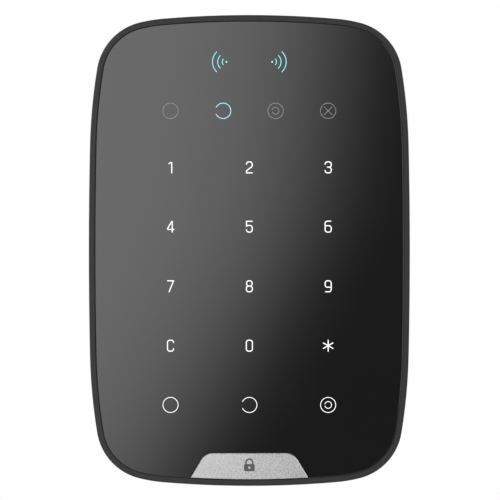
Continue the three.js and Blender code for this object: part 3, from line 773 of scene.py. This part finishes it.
def ribbon(points, width, closed=True):
    """The four-sided patches that make a line wide, with its corners mitred."""
    sides = leftward(points, closed)
    left, right = (
        [(x + offset * nx, z + offset * nz) for (x, z), (nx, nz) in zip(points, sides)]
        for offset in (width / 2, -width / 2)
    )
    if closed:
        left.append(left[0])
        right.append(right[0])
    return [(right[i], right[i + 1], left[i + 1], left[i]) for i in range(len(left) - 1)]


def stroke(points, width):
    """The patches of an open line made wide, with round ends."""
    patches = ribbon(points, width, closed=False)
    for end, inside in ((points[-1], points[-2]), (points[0], points[1])):
        direction = Vector(end) - Vector(inside)
        start = atan2(direction.y, direction.x) - pi / 2
        patches.append(circle(*end, width / 2, 10, start, pi))
    return patches


def inlay(name, material, patches, back=INLAY_BACK, front=INLAY_FRONT, holes=()):
    """One closed flat solid made of patches that may overlap, less any holes."""
    corners, loops = [], []
    for patch in (*patches, *holes):
        loops.append(list(range(len(corners), len(corners) + len(patch))))
        corners += [Vector(point) for point in patch]
    points, _, triangles, _, _, sources = delaunay_2d_cdt(corners, [], loops, INSIDE_LOOPS, WELD)
    kept = [
        triangle for triangle, source in zip(triangles, sources)
        if source and max(source) < len(patches)
    ]
    mesh = bmesh.new()
    lower = [mesh.verts.new(at(x, back, z)) for x, z in points]
    upper = [mesh.verts.new(at(x, front, z)) for x, z in points]
    sides = set()
    for a, b, c in kept:
        mesh.faces.new((upper[a], upper[b], upper[c]))
        mesh.faces.new((lower[c], lower[b], lower[a]))
        sides |= {(a, b), (b, c), (c, a)}
    for a, b in sorted(sides):
        if (b, a) not in sides:
            mesh.faces.new((lower[a], lower[b], upper[b], upper[a]))
    loose = [vertex for vertex in mesh.verts if not vertex.link_faces]
    bmesh.ops.delete(mesh, geom=loose, context="VERTS")
    return new_object(name, mesh, material)


def glyph_strokes():
    """The legends that are drawn with open lines, each line through (x, z, radius) corners.

    A radius is zero, for a mitred corner, or more than half the stroke. It fits between its neighbours.
    """
    w, h, r = KEY_HALF_WIDTH, KEY_HALF_HEIGHT, KEY_CURVE
    six = [
        [(w - 0.15, h, 0), (-w, h, r), (-w, -h, r), (w, -h, r), (w, 0.32, r), (-w + 0.1, 0.32, 0)],
    ]
    narrow = w - 0.06
    waist = 0.07
    return {
        "1": [[(-0.55, 1.3, 0), (0.42, h, 0.2), (0.42, -h, 0)]],
        "2": [[
            (-narrow, h - 0.85, 0), (-narrow, h, r), (narrow, h, r), (narrow, 0.35, 0.7),
            (-narrow, -1.2, 0.5), (-narrow, -h, 0), (narrow, -h, 0),
        ]],
        "3": [
            [(-w, h - 0.85, 0), (-w, h, r), (w, h, r), (w, waist, 0.75), (-0.25, waist, 0)],
            [(-0.25, waist, 0), (w, waist, 0.75), (w, -h, r), (-w, -h, r), (-w, -h + 0.85, 0)],
        ],
        "4": [
            [(0.45, h - 0.08, 0), (-1.2, -0.98, 0.2), (1.25, -0.98, 0)],
            [(0.6, h - 0.08, 0), (0.6, -h, 0)],
        ],
        "5": [[
            (narrow, h - 0.05, 0), (-narrow, h - 0.05, 0), (-narrow, 0.14, 0), (-0.6, 0.42, 0.2),
            (narrow, 0.42, r), (narrow, -h, r), (-narrow, -h, r), (-narrow, -h + 0.85, 0),
        ]],
        "6": six,
        "7": [[(-w, h, 0), (w - 0.02, h, 0), (-0.5, -h, 0)]],
        "9": [[(-x, -z, radius) for x, z, radius in line] for line in six],
        "C": [[(w, h - 0.85, 0), (w, h, r), (-w, h, r), (-w, -h, r), (w, -h, r), (w, -h + 0.85, 0)]],
        "*": [
            [(-h * cos(a), -h * sin(a), 0), (h * cos(a), h * sin(a), 0)]
            for a in (radians(30), radians(90), radians(150))
        ],
    }


def glyph_patches(key, strokes, x, z):
    w, h, r = KEY_HALF_WIDTH, KEY_HALF_HEIGHT, KEY_CURVE
    closed_loops = {
        "0": [rounded_rectangle(x, z, 2 * w, 2 * h, r)],
        "8": [
            rounded_rectangle(x, z + (h + 0.08) / 2, 2 * w - 0.2, h - 0.08, 0.75),
            rounded_rectangle(x, z - (h - 0.08) / 2, 2 * w, h + 0.08, 0.85),
        ],
    }
    if key in closed_loops:
        return [patch for loop in closed_loops[key] for patch in ribbon(loop, KEY_STROKE)]
    patches = []
    for line in strokes[key]:
        moved = [(x + u, z + v, radius) for u, v, radius in line]
        patches += stroke(round_corners(moved, closed=False, steps=8), KEY_STROKE)
    return patches


def make_key_legends():
    strokes = glyph_strokes()
    for place, key in enumerate("123456789C0*"):
        patches = glyph_patches(key, strokes, *middle(f"key_led_{place + 1}"))
        name = {"*": "star", "C": "clear"}.get(key, key)
        finish_piece(inlay(f"legend_{name}", white_light, patches), "keypad", "led")


def open_arc(x, z, radius, gap, count=48):
    """A ring with a gap of this half-angle on its left."""
    return circle(x, z, radius, count, pi + gap, 2 * pi - 2 * gap - 1e-9)


def sign_patches(kind, x, z, radius, width):
    """The round signs: a ring, an open ring, a ring round a small open ring, and a crossed ring."""
    if kind == "open":
        return stroke(open_arc(x, z, radius, radians(27)), width)
    patches = ribbon(circle(x, z, radius, 64), width)
    if kind == "double":
        patches += stroke(open_arc(x, z, radius * 0.45, radians(18), 28), width)
    if kind == "crossed":
        reach = radius * 0.51
        for side in (-1, 1):
            patches += stroke([(x - reach, z - side * reach), (x + reach, z + side * reach)], width)
    return patches


def make_symbols():
    for place, kind in enumerate(("ring", "open", "double"), start=1):
        patches = sign_patches(kind, *middle(f"mode_led_{place}"), MODE_RADIUS, MODE_STROKE)
        finish_piece(inlay(f"mode_sign_{place}", white_light, patches), "keypad", "led")
    for place, kind in enumerate(("ring", "open", "double", "crossed"), start=1):
        where = middle(f"indicator_led_{place}")
        name = f"indicator_sign_{place}"
        if kind == "open":
            sign = inlay(name, pale_cyan_light, sign_patches(kind, *where, SIGN_RADIUS, LIT_STROKE))
            patches = sign_patches(kind, *where, SIGN_RADIUS, LIT_HALO)
            halo = inlay("indicator_glow", cyan_halo, patches, front=HALO_FRONT)
            finish_piece(halo, "keypad", "led")
        else:
            sign = inlay(name, dim_print, sign_patches(kind, *where, SIGN_RADIUS, DIM_STROKE))
        finish_piece(sign, "keypad", "led")


def make_reader_signs():
    """Radio waves to each side of where a card is held: a dot and three arcs."""
    for place, towards in ((1, pi), (2, 0.0)):
        x, z = middle(f"reader_led_{place}")
        arcs = []
        for radius, spread in WAVES:
            half = radians(spread)
            arcs.append(circle(x, z, radius, 28, towards - half, 2 * half))
        lines = [patch for arc in arcs for patch in stroke(arc, WAVE_STROKE)]
        halos = [patch for arc in arcs for patch in stroke(arc, WAVE_HALO)]
        dot = circle(x, z, WAVE_DOT, 24)
        sign = inlay(f"reader_sign_{place}", cyan_light, [dot, *lines])
        glow = inlay(f"reader_glow_{place}", cyan_halo, halos, front=HALO_FRONT)
        finish_piece(sign, "keypad", "led")
        finish_piece(glow, "keypad", "led")


def make_badge_emblem():
    """A small padlock on the badge, in dark print."""
    x, z = 0.0, (BADGE.low + BADGE.high) / 2 + 0.4
    width, height, shoulder, bow = 3.8, 2.5, z + 0.4, 1.15
    body = rounded_rectangle(x, shoulder - height / 2, width, height, 0.5)
    keyhole = circle(x, shoulder - height / 2, 0.42, 24)
    line = [(x - bow, shoulder - 0.3), *circle(x, z + 1.0, bow, 20, pi, -pi), (x + bow, shoulder - 0.3)]
    patches = [body, *stroke(line, 0.55)]
    emblem = inlay("badge_emblem", dark_mark, patches, BADGE.front - 0.02, INLAY_FRONT, [keyhole])
    return finish_piece(emblem, "keypad", "badge_metal")


# ---- rear case and bracket ----

CASE_INSET = FRAME.right - CASE.right
CASE_TAPER = 3.8
CASE_WALL = 1.7
FLOOR_BACK = 1.7
FLOOR_FRONT = 2.7
PLATE = 1.5
CLEARANCE = 0.3
LIFT = 7.0
HOOK_X = 40.0
HOOK_ROWS = (44.0, -24.0)
HOOK_WIDTH = 9.0
HOOK_FOOT = 2.0
HEAD_RADIUS = 4.2
HOLE_WIDTH = 4.4
WALL_SCREWS = ((0, 60, 9, 4.4), (-30, -57, 4.4, 9), (30, -57, 4.4, 9), (0, -56, 4.4, 4.4))
BRACKET_INSET = 5.9
POCKET_INSET = 5.4
RIB_BACK = FLOOR_BACK + 0.2
ROOM_FRONT = 4.5
ROOM_WALL = 1.0
OUTER_CURVE = 11.1
INNER_CURVE = 8.9
SCREW_HEAD_BORE = 2.7
SCREW_HEAD_END = 4.15
GUIDE_FRONT = 9
TAMPER_GUIDE, TAMPER_BORE = 2.8, 1.8
POWER_GUIDE, POWER_BORE = 3.9, 2.9
POWER_WINDOW = (11, 15, 2)
LIP = Span(-5.0, 5.0, BRACKET.low, -77.5, 0.0, 8.2)
LOCK_DEPTH = 4.6
LOCK_HEAD_SEAT = -78.5
LOCK_HEAD_TOP = -78.55
LOCK_THREAD_BORE = 1.25
LOCK_HEAD_BORE = 2.25
LOCK_NOTCH = (1.5, -90, -71.7)
LOCK_BLOCK = Span(-7.5, 7.5, LOCK_HEAD_SEAT, -70.5, RIB_BACK, 10.5)
RAMP_SLOPE = 0.11
RAMP_HALF = 2.1


def soft_back(inset, back, front, depth, steps=10):
    """(inset, depth) points from the back, where the sides curve in, to the parting plane."""
    points = []
    for step in range(steps + 1):
        angle = pi / 2 * step / steps
        points.append((inset + CASE_TAPER * (1 - sin(angle)), back + depth * (1 - cos(angle))))
    points.append((inset, front))
    return points


def bracket_pocket():
    upper = [outline_point(angle, POCKET_INSET) for angle in UPPER_HALF]
    limit = BRACKET.right + 2 * CLEARANCE
    points = [(max(-limit, min(limit, x)), z) for x, z in upper]
    points = [(-limit, -100), (limit, -100), *points]
    return tool(slab, points, CASE.back - 1, FLOOR_BACK)


def head_rooms(back, front, wall):
    spread = HEAD_RADIUS - HOLE_WIDTH / 2 + wall
    return [
        box_tool(
            x - length / 2 - spread, x + length / 2 + spread,
            z - height / 2 - spread - LIFT, z + height / 2 + spread, back, front + wall,
        )
        for x, z, length, height in WALL_SCREWS
    ]


def make_rear_case():
    outer = soft_back(CASE_INSET, CASE.back, CASE.front, OUTER_CURVE)
    lip = round_corners([
        (CASE_INSET, CASE.front - 0.3, 0), (CASE_INSET, CASE.front, 0.12),
        (CASE_INSET + CASE_WALL, CASE.front, 0.12), (CASE_INSET + CASE_WALL, CASE.front - 0.3, 0),
    ], closed=False, steps=3)
    inner = soft_back(CASE_INSET + CASE_WALL, FLOOR_FRONT, CASE.front, INNER_CURVE)
    mesh = bmesh.new()
    sweep_outline(mesh, [*outer[:-1], *lip, *reversed(inner[:-1])])
    shell = new_object("case_shell", mesh, shell_plastic)
    tamper_x, tamper_z = middle("tamper_button")
    power_x, power_z = middle("power_button")
    join(
        shell,
        *[post_tool(x, z, BOSS_RADIUS, RIB_BACK, CASE.front) for x, z in screw_places()],
        post_tool(tamper_x, tamper_z, TAMPER_GUIDE, RIB_BACK, GUIDE_FRONT),
        post_tool(power_x, power_z, POWER_GUIDE, RIB_BACK, GUIDE_FRONT),
        box_tool(*LOCK_BLOCK),
        *head_rooms(RIB_BACK, ROOM_FRONT, ROOM_WALL),
    )
    half = HOOK_WIDTH / 2 + CLEARANCE
    slots = [
        box_tool(
            x - half, x + half,
            z - LIFT - CLEARANCE, z + HOOK_FOOT + CLEARANCE, 0, FLOOR_FRONT + 0.1,
        )
        for x in (-HOOK_X, HOOK_X) for z in HOOK_ROWS
    ]
    cut(
        shell,
        bracket_pocket(),
        *[post_tool(x, z, PILOT_RADIUS, 0, CASE.front + 1) for x, z in screw_places()],
        *[post_tool(x, z, SCREW_HEAD_BORE, 0, SCREW_HEAD_END) for x, z in screw_places()],
        post_tool(tamper_x, tamper_z, TAMPER_BORE, 0, GUIDE_FRONT + 3),
        post_tool(power_x, power_z, POWER_BORE, 0, GUIDE_FRONT + 3),
        box_tool(LIP.left - CLEARANCE, LIP.right + CLEARANCE, -90, LIP.high + CLEARANCE, -1, 9),
        rod_tool(0, LOCK_DEPTH, *LOCK_NOTCH),
        *slots,
        *head_rooms(0, ROOM_FRONT, 0.0),
    )
    soften(shell, 0.15, angle=40)
    return finish_piece(shell, "keypad", "case_plastic", "rear_case")


def hook_tool(x, z):
    """A foot through the case's floor and a lip that points up behind it."""
    back = FLOOR_FRONT + CLEARANCE
    front = back + 1.2
    top = z + HOOK_FOOT + LIFT - 2 * CLEARANCE
    corners = [
        (z, PLATE / 2, 0), (z + HOOK_FOOT, PLATE / 2, 0), (z + HOOK_FOOT, back, 0.3),
        (top, back, 0.3), (top, front, 0.5), (z, front, 0.4),
    ]
    side = round_corners(corners, steps=4)
    rings = [[at(x + dx, depth, height) for height, depth in side]
             for dx in (-HOOK_WIDTH / 2, HOOK_WIDTH / 2)]
    return tool(loft, rings)


def tab_slits(x, z):
    """Slits that leave the tamper tab on four thin bridges."""
    half, slit, bridge = 8.5, 1.0, 1.6
    top, bottom = z + 13, z - 17
    centre = (top + bottom) / 2
    boxes = []
    for side in (-half, half):
        edges = (x + side - slit / 2, x + side + slit / 2)
        boxes.append(box_tool(*edges, bottom, centre - bridge, -1, PLATE + 1))
        boxes.append(box_tool(*edges, centre + bridge, top, -1, PLATE + 1))
    for height in (top, bottom):
        edges = (height - slit / 2, height + slit / 2)
        boxes.append(box_tool(x - half - slit / 2, x - bridge, *edges, -1, PLATE + 1))
        boxes.append(box_tool(x + bridge, x + half + slit / 2, *edges, -1, PLATE + 1))
    return boxes


def tamper_ramp(x, z):
    bottom, top = z - 1, z + LIFT + 1.8
    low = PLATE - RAMP_SLOPE * (top - bottom)
    side = [(bottom, PLATE), (top, low), (top, PLATE + 1), (bottom, PLATE + 1)]
    rings = [[at(x + dx, depth, height) for height, depth in side] for dx in (-RAMP_HALF, RAMP_HALF)]
    return tool(loft, rings)


def make_bracket():
    limit = BRACKET.right
    points = [(max(-limit, min(limit, x)), z) for x, z in outline(BRACKET_INSET)]
    mesh = bmesh.new()
    slab(mesh, points, 0, PLATE)
    plate = new_object("bracket_plate", mesh, bracket_plastic)
    tamper_x, tamper_z = middle("tamper_button")
    power_x, power_z = middle("power_button")
    join(
        plate,
        box_tool(LIP.left, LIP.right, LIP.low, LIP.low + 8, 0, PLATE),
        box_tool(LIP.left, LIP.right, LIP.low, LIP.high, 0, LIP.front),
        *[hook_tool(x, z) for x in (-HOOK_X, HOOK_X) for z in HOOK_ROWS],
    )
    holes = [
        tool(slab, rounded_rectangle(x, z, length, height, HOLE_WIDTH / 2 - 0.01, 10), -1, PLATE + 1)
        for x, z, length, height in WALL_SCREWS
    ]
    window = tool(slab, rounded_rectangle(power_x, power_z, *POWER_WINDOW), -1, PLATE + 1)
    cut(
        plate,
        *holes,
        *tab_slits(tamper_x, tamper_z),
        tamper_ramp(tamper_x, tamper_z),
        window,
        rod_tool(0, LOCK_DEPTH, LOCK_THREAD_BORE, LIP.low - 1, LIP.high + 1),
        rod_tool(0, LOCK_DEPTH, LOCK_HEAD_BORE, LIP.low - 1, LOCK_HEAD_SEAT),
    )
    soften(plate, 0.15, angle=40)
    return finish_piece(plate, "bracket", "bracket_plastic", "wall_bracket")


# ---- screws and buttons ----


def thread(shank, depth, start, pitch, turns):
    """The profile of a thread: for each turn, its root and then its crest."""
    points = []
    for turn in range(turns):
        along = start + turn * pitch
        points += [(shank - depth, along), (shank, along + pitch / 2)]
    return points


def make_lock_screw():
    box = span("lock_screw")
    depth = (box.back + box.front) / 2
    head = (box.front - box.back) / 2
    shank, head_top = 1.2, LOCK_HEAD_TOP
    profile = [
        (0, box.low + 0.5), (0.7, box.low + 0.5), (0.9, box.low), (head - 0.3, box.low),
        (head, box.low + 0.3), (head, head_top - 0.1), (head - 0.1, head_top), (shank, head_top),
    ]
    threads = 7
    pitch = (box.high - head_top - 1.4) / threads
    profile += thread(shank, 0.2, head_top + 0.4, pitch, threads)
    profile += [(shank - 0.2, box.high - 1.0), (shank / 2, box.high), (0, box.high)]
    screw = turned("lock_screw_turned", profile, upright_from(0, depth), steel)
    for long, short in ((1.5, 0.35), (0.35, 1.5)):
        cut(screw, box_tool(-long, long, box.low - 1, box.low + 0.55, depth - short, depth + short))
    return finish_piece(screw, "lock_screw", "steel", "lock_screw")


def make_case_screws():
    for number in range(1, 5):
        name = f"case_screw_{number}"
        box = span(name)
        x, z = middle(name)
        head, shank = (box.right - box.left) / 2, 1.2
        profile = [
            (0, box.back + 0.6), (0.8, box.back + 0.6), (1.0, box.back + 0.05),
            (head - 0.6, box.back), (head, box.back + 0.7), (head, 4.1), (shank, 4.1),
        ]
        threads = 12
        pitch = (box.front - 1.2 - 5.0) / threads
        profile += thread(shank, 0.25, 5.0, pitch, threads)
        profile += [(shank - 0.25, box.front - 1.0), (shank / 3, box.front), (0, box.front)]
        screw = turned(f"{name}_turned", profile, outward_from(x, z), steel, count=32)
        finish_piece(screw, "keypad", "steel", name)


def make_buttons():
    """The power button has a dished face, and the tamper button a rounded tip and a collar."""
    box = span("power_button")
    x, z = middle("power_button")
    radius = (box.right - box.left) / 2
    profile = [
        (0, box.back + 0.35), (radius - 1.2, box.back + 0.2), (radius - 0.6, box.back),
        (radius - 0.25, box.back), (radius, box.back + 0.3), (radius, 9.4), (radius - 0.2, 9.6),
        (1.4, 9.6), (1.4, box.front - 0.2), (1.2, box.front), (0, box.front),
    ]
    button = turned("power_button_moulded", profile, outward_from(x, z), button_plastic)
    finish_piece(button, "power_button", "button_plastic", "power_button")
    box = span("tamper_button")
    x, z = middle("tamper_button")
    profile = [
        (0, box.back), (0.5, box.back), (0.8, box.back + 0.08), (1.5, box.back + 0.6),
        (1.5, 11), (2.1, 11), (2.2, 11.1), (2.2, 11.9), (2.1, 12), (1.5, 12),
        (1.5, box.front - 0.1), (1.4, box.front), (0, box.front),
    ]
    button = turned("tamper_button_moulded", profile, outward_from(x, z), button_plastic)
    finish_piece(button, "tamper_button", "button_plastic", "tamper_button")


def make_batteries():
    """Each cell has a rounded shoulder, a nub that points up or down, and a flat base."""
    radius, nub, nub_length = 7.1, 2.7, 1.2
    for number in range(1, 5):
        name = f"battery_{number}"
        box = span(name)
        x, depth = (box.left + box.right) / 2, (box.back + box.front) / 2
        spring = span(f"contact_spring_{number}")
        nub_end, base, away = box.low, box.high, 1
        if spring.low < box.low:
            nub_end, base, away = box.high, box.low, -1
        shoulder = nub_end + away * nub_length
        profile = [
            (0, nub_end), (nub - 0.3, nub_end), (nub, nub_end + away * 0.3), (nub, shoulder),
            (radius - 1.3, shoulder), (radius - 0.9, shoulder + away * 0.15),
            (radius - 0.35, shoulder + away * 0.2), (radius, shoulder + away * 0.7),
            (radius, base - away * 0.5), (radius - 0.4, base - away * 0.1),
            (radius - 1.2, base - away * 0.1), (radius - 1.6, base), (0, base),
        ]
        cell = turned(f"{name}_wrapped", profile, upright_from(x, depth), battery_wrap)
        finish_piece(cell, "keypad", "battery_can", name)


# ---- the CAD nodes that stay, inside the case ----

INNER_MATERIALS = {
    "diffuser_film": film,
    "circuit_board": board_green,
    "copper": coil_copper,
    "ferrite": ferrite,
    "chip": chip_plastic,
    "steel": steel,
    "contact_metal": nickel,
    "tray_plastic": tray_plastic,
    "battery_can": battery_wrap,
    "led": phosphor,
}


def paint_inner_nodes():
    slots = {row["node"]: row["material_slot"] for row in frame["record"]["subparts"]}
    for name, obj in frame["nodes"].items():
        material = INNER_MATERIALS.get(slots[name])
        if material:
            obj.data.materials.clear()
            obj.data.materials.append(material)


# ---- stage, light and camera ----

CAMERA_LENS = 300.0
CAMERA_SENSOR = 36.0
PICTURE_HALF = 87.55 * MM
CAMERA_DISTANCE = PICTURE_HALF * CAMERA_LENS / (CAMERA_SENSOR / 2)
CARD_DISTANCE = 1.5
CARD_HALF = 0.75
CAMERA_ACROSS = 0.23 * MM
CAMERA_UP = 0.16 * MM
LARGEST_EXPONENT = 40.0


def make_camera():
    data = bpy.data.cameras.new("camera")
    data.lens = CAMERA_LENS
    data.sensor_width = CAMERA_SENSOR
    data.clip_end = 50
    camera = bpy.data.objects.new("camera", data)
    camera.location = (CAMERA_ACROSS, -FRAME.front * MM - CAMERA_DISTANCE, CAMERA_UP)
    camera.rotation_euler = (pi / 2, 0, 0)
    bpy.context.scene.collection.objects.link(camera)
    bpy.context.scene.camera = camera


def soft_card_material():
    """The brightness of the card that the glass mirrors: it falls off along a bent diagonal."""
    material = bpy.data.materials.new("soft_card")
    material.use_nodes = True
    tree = material.node_tree
    tree.nodes.clear()
    where = node(tree, "ShaderNodeTexCoord").outputs["Object"]
    parts = node(tree, "ShaderNodeSeparateXYZ")
    tree.links.new(where, parts.inputs["Vector"])
    mirrored = 1 + CARD_DISTANCE / CAMERA_DISTANCE
    x = math_node(tree, "MULTIPLY", parts.outputs["X"], 1 / (mirrored * MM))
    z = math_node(tree, "MULTIPLY", parts.outputs["Z"], 1 / (mirrored * MM))
    lean, bend, bend_height, bend_width = 0.11, 0.485, 9.7, 13.9
    below = math_node(tree, "MULTIPLY", math_node(tree, "SUBTRACT", z, bend_height), -1 / bend_width)
    grown = math_node(tree, "EXPONENT", math_node(tree, "MINIMUM", below, LARGEST_EXPONENT))
    soft = math_node(tree, "LOGARITHM", math_node(tree, "ADD", grown, 1.0), e)
    shift = math_node(tree, "MULTIPLY", soft, bend * bend_width)
    leaned = math_node(tree, "ADD", x, math_node(tree, "MULTIPLY", z, -lean))
    along = math_node(tree, "ADD", leaned, shift)
    edge, width, steepness, plateau = 61.3, 19.9, 9.4, 3.42
    scaled = math_node(tree, "MULTIPLY", math_node(tree, "SUBTRACT", along, edge), 1 / width)
    power = math_node(tree, "EXPONENT", math_node(tree, "MINIMUM", scaled, LARGEST_EXPONENT))
    base = math_node(tree, "ADD", power, 1.0)
    fall = math_node(tree, "POWER", base, -steepness)
    emission = node(tree, "ShaderNodeEmission")
    tree.links.new(math_node(tree, "MULTIPLY", fall, plateau), emission.inputs["Strength"])
    output = node(tree, "ShaderNodeOutputMaterial")
    tree.links.new(emission.outputs["Emission"], output.inputs["Surface"])
    return material


def make_soft_card():
    mesh = bmesh.new()
    corners = [(-1, -1), (1, -1), (1, 1), (-1, 1)]
    mesh.faces.new([mesh.verts.new((u * CARD_HALF, 0, v * CARD_HALF)) for u, v in corners])
    card = new_object("soft_card", mesh, soft_card_material())
    card.location = (0, -CARD_DISTANCE, 0)
    card.visible_camera = False


def area_light(name, place, width, height, power, target=(0, 0, 0)):
    data = bpy.data.lights.new(name, "AREA")
    data.shape = "RECTANGLE"
    data.size = width
    data.size_y = height
    data.energy = power
    light = bpy.data.objects.new(name, data)
    light.location = place
    direction = Vector(target) - Vector(place)
    light.rotation_euler = direction.to_track_quat("-Z", "Y").to_euler()
    light.visible_camera = False
    bpy.context.scene.collection.objects.link(light)


def studio_brightness(tree):
    """White where the camera sees it, and dimmer as light on the object."""
    path = node(tree, "ShaderNodeLightPath")
    seen, around = 1.0, 0.55
    extra = math_node(tree, "MULTIPLY", path.outputs["Is Camera Ray"], seen - around)
    return math_node(tree, "ADD", extra, around)


def make_world():
    world = bpy.data.worlds.new("studio")
    bpy.context.scene.world = world
    world.use_nodes = True
    tree = world.node_tree
    background = tree.nodes["Background"]
    background.inputs["Color"].default_value = (1.0, 1.0, 1.0, 1.0)
    tree.links.new(studio_brightness(tree), background.inputs["Strength"])


def make_floor():
    """A pale floor that turns into the white surroundings towards its rim."""
    material, tree, shader, where = surface("floor_paint", specular=0.2)
    shader.inputs["Roughness"].default_value = 0.8
    mottle = noise(tree, where, 0.01, detail=3)
    tint = blend_colors(tree, ranged(tree, mottle, 0, 1), (0.80, 0.80, 0.80), (0.83, 0.83, 0.83))
    tree.links.new(tint, shader.inputs["Base Color"])
    length = node(tree, "ShaderNodeVectorMath", operation="LENGTH")
    tree.links.new(where, length.inputs[0])
    fade = node(tree, "ShaderNodeMapRange", interpolation_type="SMOOTHERSTEP")
    fade.inputs["From Min"].default_value = 0.3
    fade.inputs["From Max"].default_value = 1.5
    tree.links.new(length.outputs["Value"], fade.inputs["Value"])
    white = node(tree, "ShaderNodeEmission")
    tree.links.new(studio_brightness(tree), white.inputs["Strength"])
    mix = node(tree, "ShaderNodeMixShader")
    tree.links.new(fade.outputs["Result"], mix.inputs["Fac"])
    tree.links.new(shader.outputs["BSDF"], mix.inputs[1])
    tree.links.new(white.outputs["Emission"], mix.inputs[2])
    tree.links.new(mix.outputs["Shader"], tree.nodes["Material Output"].inputs["Surface"])
    mesh = bmesh.new()
    mesh.faces.new([mesh.verts.new((u * MM, v * MM, 0)) for u, v in circle(0, 0, 2400, 96)])
    floor = new_object("floor", mesh, material)
    floor.location = (0, 0, -0.25)


def make_studio():
    make_camera()
    make_world()
    make_soft_card()
    area_light("key", (-1.25, -0.2, 0.75), 0.55, 0.55, 14.0)
    area_light("strip", (1.2, -1.0, 0.0), 0.7, 2.4, 9.5)
    area_light("rear_left", (-0.9, 1.0, 0.8), 0.7, 0.7, 9.0)
    area_light("rear_right", (0.9, 1.0, 0.5), 0.7, 0.7, 6.0)
    make_floor()
    bpy.context.scene.view_settings.view_transform = "Standard"


make_front_frame()
make_lens()
make_badge()
make_badge_emblem()
make_key_legends()
make_symbols()
make_reader_signs()
make_rear_case()
make_bracket()
make_lock_screw()
make_case_screws()
make_buttons()
make_batteries()
paint_inner_nodes()
make_studio()
